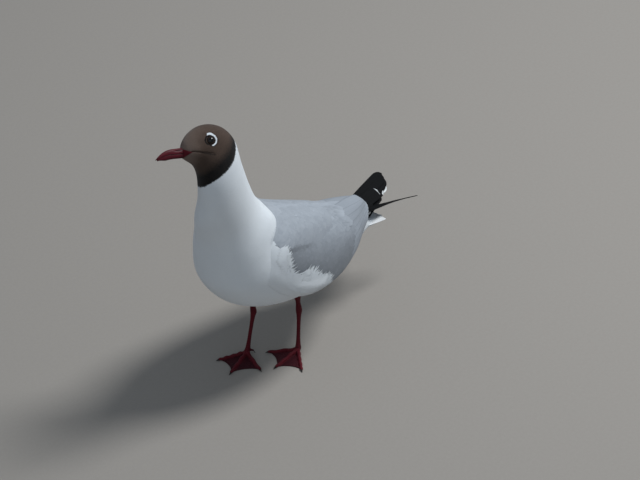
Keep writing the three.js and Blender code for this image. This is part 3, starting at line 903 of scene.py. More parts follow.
def bill():
    """Both halves, each narrowing in a curve from base to tip."""
    upper = bill_half("bill_upper_horn", BILL_LENGTH, ridge, cutting_edge,
                      lambda s: 0.4 + 3.0 * (1 - s**1.4), upper=True)
    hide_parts("bill_upper")
    lower = bill_half("bill_lower_horn", BILL_LOWER_LENGTH, lower_cutting_edge, keel,
                      lambda s: 0.4 + 2.7 * (1 - s**1.6), upper=False)
    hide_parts("bill_lower")


# ---- legs and feet ----
# x, y of the toes' joint and of the ankle, x, y, z of the thigh's top, the way of the hind toe in
# degrees, and each front toe's way, length and number of bones
RIGHT_LEG = {"joint": (21, -15.5), "ankle": (10, -15), "thigh": (16, -17, 85.5), "hind": 132,
             "toes": ((-28, 32.5, 4), (15, 39, 3), (67, 33.5, 2))}
LEFT_LEG = {"joint": (-16, 21), "ankle": (-21, 18.5), "thigh": (-14, 20, 87), "hind": 228,
            "toes": ((47, 36, 4), (2, 39, 3), (-43.5, 32.5, 2))}


def compass(degrees):
    """Level direction, from +X towards +Y, and the one across it to the left."""
    angle = math.radians(degrees)
    ahead = np.array([math.cos(angle), math.sin(angle), 0.0])
    return ahead, np.array([-ahead[1], ahead[0], 0.0])


def joint_point(leg):
    """The toes' joint on the floor."""
    return np.array([*leg["joint"], 0.0])


def shank_lean(leg):
    """Change of the shank's x and y for each millimetre up."""
    return (np.array(leg["ankle"], float) - np.array(leg["joint"], float)) / ANKLE_HEIGHT


def limb(rows):
    """Round limb through rows of x, y, z, half width across and half width fore and aft."""
    last = len(rows) - 1
    row = row_at(np.array(rows, float), np.linspace(0, last, last * 10 + 1))
    turn = circle(28)[None, :]
    rings = np.stack([row[:, None, 0] + row[:, None, 4] * np.cos(turn),
                      row[:, None, 1] + row[:, None, 3] * np.sin(turn),
                      row[:, None, 2] + 0 * turn], -1)
    return tube(rings)


def toe(base, degrees, length, bones):
    """A toe with a flat sole: half width and height fall from the base to the claw, fuller at
    each joint between its bones: width(s) (1 + 0.13 cos(2 pi bones s / 0.9))."""
    s = np.linspace(0, 0.94, 34)[:, None]
    turn = circle(24)[None, :]
    knots = [0, 0.14, 0.5, 0.86, 0.94]
    joints = 1 + 0.13 * np.cos(2 * np.pi * bones * s / 0.9) * smooth(s / 0.15)
    wide = np.interp(s, knots, [2.6, 2.0, 1.65, 1.5, 1.15]) * joints
    high = np.interp(s, knots, [5.2, 4.2, 3.3, 2.8, 2.2]) * joints
    ahead, across = compass(degrees)
    rings = base + ahead * (length * s)[..., None] + across * (wide * np.sin(turn))[..., None]
    rings[..., 2] = np.maximum(high * (0.5 - 0.5 * np.cos(turn)) ** 0.8, 0.0)
    return tube(rings[:, ::-1])


def web(base, first, second):
    """Web between two toes: rays from the joint out to a hollow front edge, ribbed a little."""
    a, b = (base + compass(degrees)[0] * length * 0.88 for degrees, length, _ in (first, second))
    inner = base + ((a + b) / 2 - base) * 0.78
    across = np.linspace(0, 1, 30)[None, :, None]
    out = np.linspace(0.0, 1, 26)[:, None, None]
    front = (a + (inner - a) * across) * (1 - across) + (inner + (b - inner) * across) * across
    sheet = base + (front - base) * out
    rib = 0.12 * np.sin(across * 44 + out * 5) * out + 0.25 * np.sin(np.pi * across) * np.sin(np.pi * out)
    upper = sheet + UP * (1.0 + rib)
    rows, columns = sheet.shape[:2]
    points = np.vstack([upper.reshape(-1, 3), sheet.reshape(-1, 3)])
    top = grid_faces(rows, columns)
    rim = np.concatenate([np.arange(columns), np.arange(2, rows + 1) * columns - 1,
                          np.arange((rows - 1) * columns, rows * columns - 1)[::-1],
                          np.arange(1, rows - 1)[::-1] * columns])
    low = rim + rows * columns
    sides = np.stack([rim, np.roll(rim, -1), np.roll(low, -1), low], -1)
    return points, np.vstack([top, top[:, ::-1] + rows * columns, sides]), NO_TRIANGLES


def leg_shells(leg):
    """Shells of one leg: thigh, ankle and tarsus as one limb, hind toe, front toes and webs."""
    base, lean = joint_point(leg), shank_lean(leg)
    ankle, thigh = np.array([*leg["ankle"], ANKLE_HEIGHT]), np.array(leg["thigh"])
    at = lambda z: base + [lean[0] * z, lean[1] * z, z]
    up = lambda share: ankle * (1 - share) + thigh * share
    shank = limb([
        (*at(1.0), 2.6, 3.2), (*at(4), 2.9, 3.6), (*at(8.5), 2.2, 2.9), (*at(18), 1.75, 2.35),
        (*at(34), 1.85, 2.3), (*at(42), 2.3, 2.7), (*at(ANKLE_HEIGHT - 1), 3.1, 3.5),
        (*up(0.1), 2.9, 3.2), (*up(0.3), 2.3, 2.6), (*up(0.6), 4.2, 5), (*up(1), 7, 9),
    ])
    ahead, beside = compass(leg["hind"])
    reach = np.linspace(1, 7.4, 14)[:, None, None]
    knots = [1, 4, 7.4]
    height, radius = (np.interp(reach, knots, heights) for heights in ([5.4, 5.2, 4.1], [1.6, 1.3, 0.85]))
    turn = circle(16)[None, :, None]
    ring = np.cos(turn) * beside + np.sin(turn) * UP
    hind_toe = tube(base + ahead * reach + UP * height + radius * ring)
    toes = [toe(base, *row) for row in leg["toes"]]
    webs = [web(base, *pair) for pair in zip(leg["toes"][:-1], leg["toes"][1:])]
    return [shank, hind_toe, *toes, *webs]


def grown_together(shells, voxel):
    """Overlapping shells fused into one by a voxel remesh and smoothed. Points in millimetres."""
    points, quads, triangles = gather(shells)
    rough = make_piece("rough", points, quads, triangles)
    remesh = rough.modifiers.new("fuse", "REMESH")
    remesh.mode = "VOXEL"
    remesh.voxel_size = voxel / MM_PER_METRE
    soften = rough.modifiers.new("soften", "SMOOTH")
    soften.factor, soften.iterations = 0.5, 4
    mesh = bpy.data.meshes.new_from_object(rough.evaluated_get(bpy.context.evaluated_depsgraph_get()))
    bpy.data.objects.remove(rough)
    points = np.zeros(len(mesh.vertices) * 3)
    mesh.vertices.foreach_get("co", points)
    corners = np.zeros(len(mesh.loops), int)
    mesh.loops.foreach_get("vertex_index", corners)
    sizes = np.zeros(len(mesh.polygons), int)
    mesh.polygons.foreach_get("loop_total", sizes)
    starts = np.concatenate([[0], np.cumsum(sizes)[:-1]])
    triangles, quads = (corners[starts[sizes == n][:, None] + np.arange(n)] for n in (3, 4))
    bpy.data.meshes.remove(mesh)
    return points.reshape(-1, 3) * MM_PER_METRE - SHIFT, quads, triangles


SHANK_SCUTE, TOE_SCUTE = 1.9, 1.35   # length of one


def leg_marks(points, leg):
    """Marks of a leg: scute counts bands up the shank and out along the nearest toe, front says
    where they show, web is 1 away from toes and shank, and bare is 1 throughout."""
    off = points - joint_point(leg)
    height = points[:, 2]
    best = np.full(len(points), np.inf)
    reach = np.zeros(len(points))
    for degrees, length, _ in leg["toes"]:
        ahead, _ = compass(degrees)
        along = np.clip(off @ ahead, 0, length)
        distance = np.linalg.norm((off - along[:, None] * ahead)[:, :2], axis=-1)
        nearer = distance < best
        best = np.where(nearer, distance, best)
        reach = np.where(nearer, along, reach)
    ahead_of_axis = off[:, 0] - shank_lean(leg)[0] * height
    above_foot = height > 6.5
    on_shank = smooth((ahead_of_axis - 0.2) / 0.9) * smooth((50 - height) / 4)
    on_toe = smooth((2.0 - best) / 0.6) * smooth((height - 1.3) / 0.6)
    return {
        **{key: 0 * height for key in WHITE_MARKS},
        "bare": 1 + 0 * height,
        "leg": 1 + 0 * height,
        "web": (1 - smooth((height - 5) / 3)) * smooth((best - 1.7) / 1.2),
        "front": np.where(above_foot, on_shank, on_toe),
        "scute": np.where(above_foot, height / SHANK_SCUTE, reach / TOE_SCUTE),
    }


def claw_shells(leg):
    """Short cones curved down along each toe's end, and a small one behind."""
    shells = []
    s = np.linspace(0, 1, 14)[:, None]
    turn = circle(14)[None, :]
    spots = [(degrees, reach * 0.915, reach * 0.085 + 0.8, 1.15, 2.1) for degrees, reach, _ in leg["toes"]]
    spots.append((leg["hind"], 7.0, 1.9, 0.75, 4.6))
    for degrees, start, length, thick, height in spots:
        ahead, across = compass(degrees)
        radius = thick * (1 - 0.93 * s**1.3)
        middle = joint_point(leg) + ahead * (start + length * s)[..., None]
        drop = height / 2 + 0.25 - 0.42 * height * s**1.8
        ring = middle + across * (radius * 0.8 * np.sin(turn))[..., None]
        ring[..., 2] = np.maximum(drop + radius * np.cos(turn), 0.05)
        shells.append(tube(ring[:, ::-1]))
    return shells


def claws():
    """The claws of both feet as one piece."""
    shells = claw_shells(LEFT_LEG) + claw_shells(RIGHT_LEG)
    piece = make_piece("claws", *gather(shells), {"dark": 0.0})
    finish_piece(piece, claw_horn)


# ---- skin ----
def bare_gape(p):
    """1 on the red wedge at the gape: from the whole height of the bill base back to a point."""
    forward = np.clip((p[..., 0] - 17.2) / 8.0, 0, 1)
    half = 0.1 + 4.6 * forward**1.7
    near = smooth(0.5 + (half - np.abs(p[..., 2] + 8.5 + 0.3 * forward)) / 0.7)
    return near * (p[..., 0] > 17.0)


def gape_crease(p, drop=0.0):
    """1 in the crease that carries the gape back, or at a drop below it."""
    return bell(p[..., 2] - gape_height(p[..., 0]) + drop, 0.8) * (p[..., 0] > 0) * (p[..., 0] < 20)


def wing_pad(side):
    """Flesh and down of a folded wing: a thin pad below the feathers, closed at its rim."""
    station = np.linspace(0.15, 6.75, 60)[:, None]
    v = np.linspace(0.03, 0.97, 28)[None, :]
    outer, inner = (WINGS[side].at(station, v, h) for h in (-1.5, -4.0))
    points, quads, triangles = tube(np.concatenate([outer, inner[:, ::-1]], 1))
    if side == LEFT:
        quads, triangles = quads[:, ::-1], triangles[:, ::-1]
    return points, quads, triangles


def skin():
    """The whole skin: a tube of body rings from the bill to the tail stub, the wing pads, and
    the fused legs. Its marks are the same functions of station and angle as the coat's."""
    place = np.concatenate([np.linspace(0, 7, 90), np.linspace(7, 17.2, 110)[1:]])[:, None]
    angle = circle(128)[None, :]
    p = head_frame(body_at(place, angle))
    gape = bare_gape(p) * (place < 3)
    depth = coat_depth(place) * (1 - 0.85 * gape) + 0.1
    rings = body_at(place, angle, -depth)
    parts = [tube(rings[:, ::-1])]
    marks = {**markings(*alike(place, angle)), "bare": gape, "leg": 0, "web": 0, "front": 0, "scute": 0}
    # painted shade: the tone darkened in the gape's crease
    marks["tone"] = np.clip(marks["tone"] + 0.5 * gape_crease(p) * (place < 5), 0, 1)
    end_points = [0, 0]
    lists = {}
    for key, number in marks.items():
        number = np.broadcast_to(number, gape.shape)[:, ::-1].ravel()
        lists[key] = [np.concatenate([number, end_points])]
    for side in (LEFT, RIGHT):
        parts.append(wing_pad(side))
        for key in lists:
            lists[key].append(np.full(len(parts[-1][0]), float(key == "grey")))
    for leg in (LEFT_LEG, RIGHT_LEG):
        parts.append(grown_together(leg_shells(leg), voxel=0.5))
        for key, number in leg_marks(parts[-1][0], leg).items():
            lists[key].append(number)
    values = {key: np.concatenate(numbers) for key, numbers in lists.items()}
    piece = make_piece("skin", *gather(parts), values)
    finish_piece(piece, skin_finish)
    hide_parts("head", "neck", "trunk", "tail", "wing_left", "wing_right", "thigh_left",
                "thigh_right", "tarsus_left", "tarsus_right", "foot_left", "foot_right")


# ---- coat of the body ----
def on_left(points):
    """The points, with those of the right side mirrored to the left."""
    return points * np.where(points[..., 1:2] < 0, MIRROR_Y, 1)


def behind_hood(a, b):
    """True where a root lies behind the hood's border, or so little before it that both mix."""
    return a > hood_border(b) - 0.15


def clear_of_wings(a, b):
    """False where a root lies within 4.6 mm of a folded wing's pad, away from the wing's rim."""
    pad = wing_at(np.linspace(0.35, 6.5, 60)[:, None], np.linspace(0.1, 0.9, 26), -3.0).reshape(-1, 3)
    root = on_left(body_at(a, b))
    chunks = np.array_split(root, max(1, len(root) // 2000))
    away = [np.linalg.norm(chunk[:, None] - pad[None], axis=-1).min(-1) for chunk in chunks]
    return np.concatenate(away) >= 4.6


def wing_rim():
    """Points down the upper half of the left wing's front rim."""
    return wing_at(np.zeros(12), np.linspace(1, 0.55, 12), 0.0)


RISE_PLACES, RISE_ANGLES = np.linspace(5, 17, 97), np.linspace(-np.pi, np.pi, 145)
RISE_HEIGHT, RISE_REACH = 3.0, 18


def rise_grid():
    """Extra height of the body's feathers next to a wing's front rim, so that they run smoothly
    up onto it: height share smooth(1 - distance / reach), at the nodes of a grid. The share
    falls down the rim."""
    root = on_left(body_at(RISE_PLACES[:, None], RISE_ANGLES[None, :]))
    away = np.linalg.norm(root[:, :, None] - wing_rim()[None, None], axis=-1)
    share = np.linspace(1, 0.1, away.shape[-1])
    return RISE_HEIGHT * (share * smooth(1 - away / RISE_REACH)).max(-1)


RISE = rise_grid()


def rise_at(place, angle):
    """The grid's heights between its nodes."""
    i = np.clip((place - RISE_PLACES[0]) / (RISE_PLACES[1] - RISE_PLACES[0]), 0, len(RISE_PLACES) - 1.001)
    turn = np.mod(angle + np.pi, 2 * np.pi)
    j = np.clip(turn / (RISE_ANGLES[1] - RISE_ANGLES[0]), 0, len(RISE_ANGLES) - 1.001)
    i0, j0 = i.astype(int), j.astype(int)
    u, w = i - i0, j - j0
    near = RISE[i0, j0] * (1 - w) + RISE[i0, j0 + 1] * w
    far = RISE[i0 + 1, j0] * (1 - w) + RISE[i0 + 1, j0 + 1] * w
    return near * (1 - u) + far * u


def risen_at(place, angle, height=0.0):
    """Posed body with the extra height near the wings."""
    place, angle, height = alike(place, angle, height)
    return body_at(place, angle, height + rise_at(place, angle))


RISEN = Surface(risen_at, outside=-1)
SPINE = body_at(np.linspace(15.5, 8.5, 60), 0.0)
MANTLE_EDGE = 0.93   # how far up the wing the cover of the back ends


def mantle_at(station, u, height=0.0):
    """Cover of the back from the right wing's inner edge, u = -1, to the left one's, u = 1: the
    straight line between both, raised by (1 - u2) so that its middle clears spine and wings."""
    station, u, height = alike(station, u, height)
    rise = 0.9 - 2.6 * smooth((station - 2.9) / 0.9)
    left, right = (
        WINGS[side].at(station, MANTLE_EDGE, crest(side, station, MANTLE_EDGE) + rise)
        for side in (LEFT, RIGHT))
    line = right + (left - right) * (0.5 + 0.5 * u)[..., None]
    middle = (left + right) / 2
    spine = np.interp(middle[..., 0], SPINE[:, 0], SPINE[:, 2]) + 0.8
    edges = wing_at(station, 1.0)[..., 2] + 2.0
    clear = np.maximum(np.maximum(spine, edges) - middle[..., 2], 0)
    up = unit(np.stack([-0.5 + 0 * u, 0.45 * u, 1.0 + 0 * u], -1))
    return line + UP * (clear * (1 - u**2))[..., None] + up * height[..., None]


MANTLE_COVER = Surface(mantle_at, outside=-1)


def mantle_coat():
    """Grey feathers over the back between the wings, from the neck's base to the rump."""
    rng = draws(54)
    size = lambda a, b: np.interp(a, [0.5, 2, 5], [9.0, 14.0, 18.0])
    a, b = staggered(MANTLE_COVER, (0.55, 4.9), (-0.97, 0.97), size, 0.22, 0.24, rng)
    length = size(a, b) * rng.uniform(0.93, 1.07, len(a))
    border = smooth((np.abs(b) - 0.7) / 0.3)
    group = vanes(MANTLE_COVER, a, b, length, length * 0.55, turn=rng.normal(0, 0.04, len(a)),
                  deep=1.4, top=0.3 - 0.6 * border + rng.uniform(-0.02, 0.02, len(a)),
                  rows=7, columns=5, full=0.6, dive=3.0, soft=0.92, rng=rng)
    coat_piece("back_feathers", [group], [grey_marks(a)])


def body_coat(name, a_range, keep, seed, along, across):
    """Contour feathers of the body between two stations where keep(a, b) holds."""
    rng = draws(seed)
    a, b = staggered(BODY, a_range, (-np.pi, np.pi), feather_length, along, across, rng)
    chosen = keep(a, b)
    a, b = a[chosen], b[chosen]
    length = feather_length(a) * rng.uniform(0.85, 1.15, len(a))
    deep = coat_depth(a)
    group = vanes(RISEN, a, b, length, length * 0.55, turn=rng.normal(0, 0.07, len(a)), deep=deep,
                  top=rng.uniform(-0.015, 0.015, len(a)) * deep, dive=3.0, camber=0.02, rng=rng)
    coat_piece(name, [group], [markings(a, b)])


def head_keep(a, b):
    """Head roots clear of the gape's bare wedge and of the eye openings, root and tip."""
    root = head_frame(body_at(a, b))
    ahead = np.linalg.norm(body_at(a + STEP, b) - body_at(a, b), axis=-1) / STEP
    tip = head_frame(body_at(a + feather_length(a) / ahead, b))
    clear = bare_gape(root) < 0.4
    for side in (LEFT, RIGHT):
        for point, margin in ((root, 6.3), (tip, 5.6), ((root + tip) / 2, 5.6)):
            distance, _ = eye_distance(point, side)
            clear &= ~((distance < margin) & (point[:, 1] * side > 0))
    return clear


def hood_coat(name, a_range, seed):
    """Tiny feathers of the head between two stations, sunk a little along the gape's crease, where their tone
    is darkened as painted shade.
    """
    rng = draws(seed)
    a, b = staggered(BODY, a_range, (-np.pi, np.pi), feather_length, 0.25, 0.26, rng)
    chosen = head_keep(a, b)
    a, b = a[chosen], b[chosen]
    length = feather_length(a) * rng.uniform(0.85, 1.15, len(a))
    crease = gape_crease(head_frame(body_at(a, b)), drop=0.3)
    deep = coat_depth(a)
    group = vanes(BODY, a, b, length, length * 0.44, turn=rng.normal(0, 0.1, len(a)), deep=deep,
                  top=rng.uniform(-0.02, 0.02, len(a)) * deep - 0.3 * crease, rows=4, dive=3.0, camber=0.0,
                  soft=0.92, rng=rng)
    mark = markings(a, b)
    mark["hood"] = np.clip(mark["hood"] * 3 - rng.random(len(a)) * 2, 0, 1).round()
    # painted shade: feathers in the gape's crease darkened towards black
    mark["tone"] = np.clip(mark["tone"] + 0.45 * crease, 0, 1)
    coat_piece(name, [group], [mark])


# ---- ring of tiny feathers round each eye ----
def on_head(x, z, side):
    """Station and angle of the head's surface at x, z in the head's frame, by Newton steps."""
    step = 1e-3
    place = np.full_like(x, 3.4)
    angle = np.full_like(x, side * 1.35)

    def miss(p, q):
        point, _ = body_straight(p, q, np.zeros_like(p))
        return point[..., 0] - HEAD_REST[0] - x, point[..., 2] - HEAD_REST[2] - z

    for _ in range(8):
        fx, fz = miss(place, angle)
        px, pz = ((u - v) / step for u, v in zip(miss(place + step, angle), (fx, fz)))
        qx, qz = ((u - v) / step for u, v in zip(miss(place, angle + step), (fx, fz)))
        det = px * qz - qx * pz
        place = place - np.clip((fx * qz - qx * fz) / det, -0.5, 0.5)
        angle = angle - np.clip((px * fz - fx * pz) / det, -0.3, 0.3)
    return place, angle


def eye_ring(side):
    """Surface round an eye: a is the angle from forward over the top, b the distance from the
    eye's axis, laid on the head."""
    centre, axis, forward, up = eye_frame(side)
    middle = centre + axis * 3.4

    def at(a, b, height=0.0):
        a, b, height = alike(a, b, height)
        spot = middle + (b * np.cos(a))[..., None] * forward + (b * np.sin(a))[..., None] * up
        place, angle = on_head(spot[..., 0], spot[..., 2], side)
        return body_at(place, angle, height)

    return Surface(at, outside=-side)


def eye_ring_coat(side):
    """Tiny feathers round the eye, lying round it from front to rear above and below. Those next
    to it are black, and a crescent from the front top round the rear to the bottom is white and
    stands a little proud."""
    rng = draws(21, side)
    surface = eye_ring(side)
    count = 1500
    a = rng.uniform(-np.pi, np.pi, count)
    b = np.sqrt(rng.uniform(4.6**2, 7.5**2, count))
    ahead, over = b * np.cos(a) - 1.0, b * np.sin(a) - 0.35
    around, way = np.hypot(ahead, over), np.degrees(np.arctan2(over, ahead)) % 360
    span = smooth((way - 58) / 14) * smooth((268 - way) / 14)
    middle = np.sin(np.pi * np.clip((way - 60) / 216, 0, 1))
    broad = 4.8 + 1.75 * span * (0.6 + 0.4 * middle)
    white = (around > 4.75) & (around < broad) & (span > 0.3)
    backwards = np.where(np.sin(a) > 0, 0.0, np.pi)
    length = np.where(white, 1.3, 1.6) * rng.uniform(0.8, 1.2, count)
    width = np.where(white, 0.62, 0.7)
    top = np.where(white, 0.3, -0.1) + rng.uniform(-0.06, 0.06, count)
    out_turn = np.where(np.sin(a) > 0, -1, 1) * 0.25
    group = vanes(surface, a, b, length, width, turn=backwards + out_turn * side + rng.normal(0, 0.12, count),
                  deep=0.5, top=top, rows=4, rng=rng)
    point = head_frame(surface.at(a, b))
    place, angle = on_head(point[:, 0], point[:, 2], side)
    mark = markings(place, angle)
    mark["hood"] = np.where(white, 0.0, 1.0)
    mark["grey"] = mark["dark"] = np.zeros(count)
    mark["tone"] = np.where(around < 5.3, 1.0, np.clip(mark["tone"] + 0.12, 0, 1))
    coat_piece("eye_ring_" + SIDE_NAME[side], [group], [mark])


# ---- coat of the wings ----
def crest(side, station, v):
    """Rise of a wing's upper rear feathers towards its upper edge: by 5.5 on the left, which lies
    over the right, in along the station and out again, and by 0.6 on the right."""
    if side == RIGHT:
        return 0.6 * smooth((station - 3.4) / 1.4) * smooth((v - 0.5) / 0.4)
    return 5.5 * smooth((station - 3.3) / 1.5) * smooth((7.3 - station) / 2.0) * smooth((v - 0.45) / 0.5)


def coverts(side, rng):
    """Coverts over the front and middle of a folded wing, growing longer to the rear, their grey
    darkened by painted shade: all over, more below, and in a line under the scapulars' border."""
    surface = WINGS[side]
    size = lambda a, b: np.interp(a, [0, 2, 3.5, 5], [7.0, 11.0, 17.0, 22.0])
    a, b = staggered(surface, (-0.1, 4.35), (-0.05, 1.0), size, 0.27, 0.27, rng)
    chosen = (b > table_at(FLANK_EDGE, a) - 0.1) & (a < 4.3 - 0.5 * smooth((b - 0.4) / 0.5))
    a, b = a[chosen], b[chosen]
    length = size(a, b) * rng.uniform(0.9, 1.1, len(a))
    droop = -0.12 * side * smooth((a - 0.5) / 3)
    group = vanes(surface, a, b, length, length * 0.5, turn=droop + rng.normal(0, 0.04, len(a)), deep=1.2,
                  top=-0.1 + crest(side, a + 0.5, b) + rng.uniform(-0.05, 0.05, len(a)), rows=6, columns=5,
                  full=0.6, rng=rng)
    # painted shade on the grey: darker all over, less near the upper edge, more towards the lower edge, and a
    # dark line under the scapulars' border
    low = 1 - smooth((b - 0.15) / 0.5)
    border = bell(b - table_at(SCAPULAR_EDGE, a), 0.035) * smooth((a - 0.5) / 0.3) * smooth((2.3 - a) / 0.5)
    shade = 0.3 - 0.2 * smooth((b - 0.72) / 0.15) + 0.3 * smooth((0.75 - b) / 0.25)
    shade = shade + 0.35 * low + 0.35 * border
    coat_piece("coverts_" + SIDE_NAME[side], [group], [grey_marks(a, shade)])


def scapulars(side, rng):
    """Scapular feathers over the upper part of a folded wing, raised a little within their lower
    border and rounded off behind, their grey darkened by painted shade, most near that border."""
    surface = WINGS[side]
    size = lambda a, b: np.interp(a, [0, 1.5, 3.5], [9.0, 14.0, 22.0])
    a, b = staggered(surface, (-0.1, 3.1), (0.38, 1.2), size, 0.2, 0.24, rng)
    tip = a + size(a, b) / 37.0
    border = b - table_at(SCAPULAR_EDGE, a + 0.3) - 0.03
    chosen = (border > 0) & (tip < 3.75 + 0.25 * np.sin(np.pi * np.clip((b - 0.6) / 0.4, 0, 1)))
    chosen &= (b > table_at(FLANK_EDGE, a) - 0.1) & (b < 1.06)
    a, b, border = a[chosen], b[chosen], border[chosen]
    length = size(a, b) * rng.uniform(0.93, 1.07, len(a))
    comb = side * (0.1 - 0.3 * (b - 0.5)) + rng.normal(0, 0.04, len(a))
    inner = smooth((b - 0.9) / 0.15) * smooth((a - 0.3) / 1.2)
    top = 0.25 + 0.6 * smooth(border / 0.15) - 0.8 * inner + rng.uniform(-0.06, 0.06, len(a))
    group = vanes(surface, a, b, length, length * 0.55, turn=comb, deep=1.4, top=top, rows=7, columns=5,
                  full=0.6, rng=rng)
    # painted shade on the grey: a little all over and more towards the lower border
    shade = 0.16 + 0.4 * smooth(1 - border / 0.3) * smooth((a - 0.3) / 1.5)
    coat_piece("scapulars_" + SIDE_NAME[side], [group], [grey_marks(a, shade)])


def wing_coat(side):
    """Coverts, then the scapular feathers over them."""
    rng = draws(31, side)
    coverts(side, rng)
    scapulars(side, rng)


def flank_coat(side):
    """Soft white feathers of the shoulder and flank, lapping up over the wing's front and lower
    edge. Along the flank they are long narrow plumes, combed up and back and standing a little
    off the wing, with a fringe of loose threads over them."""
    rng = draws(41, side)
    surface = WINGS[side]
    size = lambda a, b: np.interp(a, [-0.5, 0.6, 1.3, 3.6], [7.5, 8.5, 12.0, 12.0])
    a, b = staggered(surface, (-0.2, 3.45), (-0.08, 0.95), size, 0.15, 0.13, rng)
    edge = table_at(FLANK_EDGE, a + size(a, b) / 42) - 0.05
    near = smooth(1 - (edge - b) / 0.3)
    plume = smooth((a - 0.7) / 0.7)
    chosen = b + 0.09 * plume < edge
    a, b, near, plume = a[chosen], b[chosen], near[chosen], plume[chosen]
    length = size(a, b) * rng.uniform(0.8, 1.2, len(a))
    comb = side * (0.08 + 0.5 * near * plume) + rng.normal(0, 0.05 + 0.09 * plume)
    top = 0.55 + 0.35 * plume + rng.uniform(-0.04, 0.04, len(a)) * (1 + 3 * plume)
    lift = 0.25 * near * plume * rng.random(len(a))
    plumes = vanes(surface, a, b, length, length * (0.36 - 0.14 * plume), turn=comb, deep=1.4, top=top,
                   lift=lift, dive=3.0, curl=side * 0.1 * plume * near, rows=6, slim=0.3, full=0.3, rng=rng)

    count = 2200
    a = rng.uniform(0.7, 3.35, count)
    b = table_at(FLANK_EDGE, a) - 0.04 - 0.2 * rng.random(count) ** 0.8
    length = rng.uniform(6, 14, count)
    width = 0.7 + 0.7 * rng.random(count)
    comb = side * (0.5 + 0.3 * np.sin(5.5 * a + 9 * b)) + rng.normal(0, 0.1, count)
    top = 0.75 + 0.3 * rng.random(count)
    lift = 0.3 * rng.random(count)
    fringe = vanes(surface, a, b, length, width, turn=comb, deep=0.8, top=top, lift=lift,
                   curl=side * (0.08 + 0.08 * np.sin(7 * a)), rows=7, slim=0.5, full=0.2, dive=3.0,
                   soft=0.9, rng=rng)
    coat_piece("flank_feathers_" + SIDE_NAME[side], [plumes, fringe], [WHITE_MARKS, WHITE_MARKS])


def smoothed(rows, times):
    """Rows averaged with their neighbours again and again, the ends kept."""
    for _ in range(times):
        rows = np.vstack([rows[:1], (rows[:-2] + 2 * rows[1:-1] + rows[2:]) / 4, rows[-1:]])
    return rows


def bridge_lines():
    """Down the left wing's front rim and back along its lower rim: points on the body 13 mm
    outside it, points on the wing inside it, the outward way at both, and middle points such
    that an arc between them clears the rim by 1.4 in front and 0.5 behind."""
    down, back = 50, 149
    station = np.concatenate([np.zeros(down), np.linspace(0, 3.35, back + 1)[1:]])
    v = np.concatenate([np.linspace(0.62, 0.03, down), np.full(back, 0.02)])
    rim = wing_at(station, v)
    inner = (station + 0.35 * (1 - smooth(station / 0.8)), v + 0.15 * smooth((0.4 - v) / 0.35))
    wing = wing_at(*inner, 0.5)
    wing_out = WINGS[LEFT].frame(*inner)[2]
    place, angle = alike(np.linspace(7, 16.5, 380)[:, None], np.linspace(0.3, 3.1, 340))
    place, angle = place.ravel(), angle.ravel()
    nodes = body_at(place, angle, 0.35)
    spot = rim + 13 * unit(rim - wing)
    nearest = np.array([np.argmin(((nodes - q) ** 2).sum(-1)) for q in spot])
    body = smoothed(nodes[nearest], 60)
    body_out = smoothed(BODY.frame(place[nearest], angle[nearest])[2], 60)
    wing = smoothed(wing, 20)
    clear = 1.4 - 0.9 * smooth((station - 0.4) / 1.5)
    peak = smoothed(rim, 10) + clear[:, None] * unit(wing_out + body_out)
    return body, 2 * peak - (body + wing) / 2, wing, body_out, wing_out


BRIDGE = bridge_lines()
BRIDGE_SHARE = np.linspace(0, 1, len(BRIDGE[0]))


def bridge_rows(k):
    """The five lines of bridge_lines() at shares k of their length."""
    return [np.stack([np.interp(k, BRIDGE_SHARE, column) for column in line.T], -1) for line in BRIDGE]


def bridge_at(k, t, height=0.0):
    """Arc (1-t)2 body + 2t(1-t) middle + t2 wing between the lines of bridge_lines()."""
    k, t, height = alike(k, t, height)
    body, middle, wing, body_out, wing_out = bridge_rows(k)
    share, height = t[..., None], height[..., None]
    arc = body * (1 - share) ** 2 + 2 * middle * share * (1 - share) + wing * share**2
    return arc + unit(body_out * (1 - share) + wing_out * share) * height


def shoulder_coat(side):
    """White feathers over a wing's front and lower rim, from the body onto the wing. They point
    back, a little down at the shoulder and a little up on the flank. They are shaded like the
    body where they leave it and like the wing where they arrive."""
    rng = draws(45, side)
    surface = Surface(bridge_at, outside=1, mirror=side)
    size = lambda a, b: 8.0 + 3.0 * np.asarray(a)
    a, b = staggered(surface, (0.02, 0.95), (0.0, 0.95), size, 0.17, 0.19, rng)
    along_a, along_b, normal = surface.frame(a, b)
    way = unit(np.stack([-1 + 0 * a, 0 * a, -0.35 + 0.75 * smooth(a / 0.45)], -1))
    lie = unit(along_a)
    turn = np.arctan2((way * np.cross(normal, lie)).sum(-1), (way * lie).sum(-1))
    length = size(a, b) * rng.uniform(0.85, 1.15, len(a))
    ahead = b + length * (way * along_b).sum(-1) / (along_b * along_b).sum(-1)
    chosen = (ahead < 1.0 + 0.05 * rng.random(len(a))) & (a < 0.93)
    a, b, turn, length, ahead = a[chosen], b[chosen], turn[chosen], length[chosen], ahead[chosen]
    group = vanes(surface, a, b, length, length * 0.5, turn=turn + rng.normal(0, 0.06, len(a)), deep=1.6,
                  top=0.1 + rng.uniform(-0.02, 0.02, len(a)), dive=3.0, camber=0.02, soft=0.92, rng=rng)
    reach = b[:, None, None] + (ahead - b)[:, None, None] * group["along"]
    leaving = (1 - smooth(reach / 0.5))[..., None]
    arriving = smooth((reach - 0.55) / 0.4)[..., None]
    body_out, wing_out = (out[:, None, None] * [1, side, 1] for out in bridge_rows(a)[3:])
    own = group["normals"] * (1 - leaving - arriving)
    group["normals"] = unit(own + body_out * leaving + wing_out * arriving)
    coat_piece("shoulder_feathers_" + SIDE_NAME[side], [group], [WHITE_MARKS])


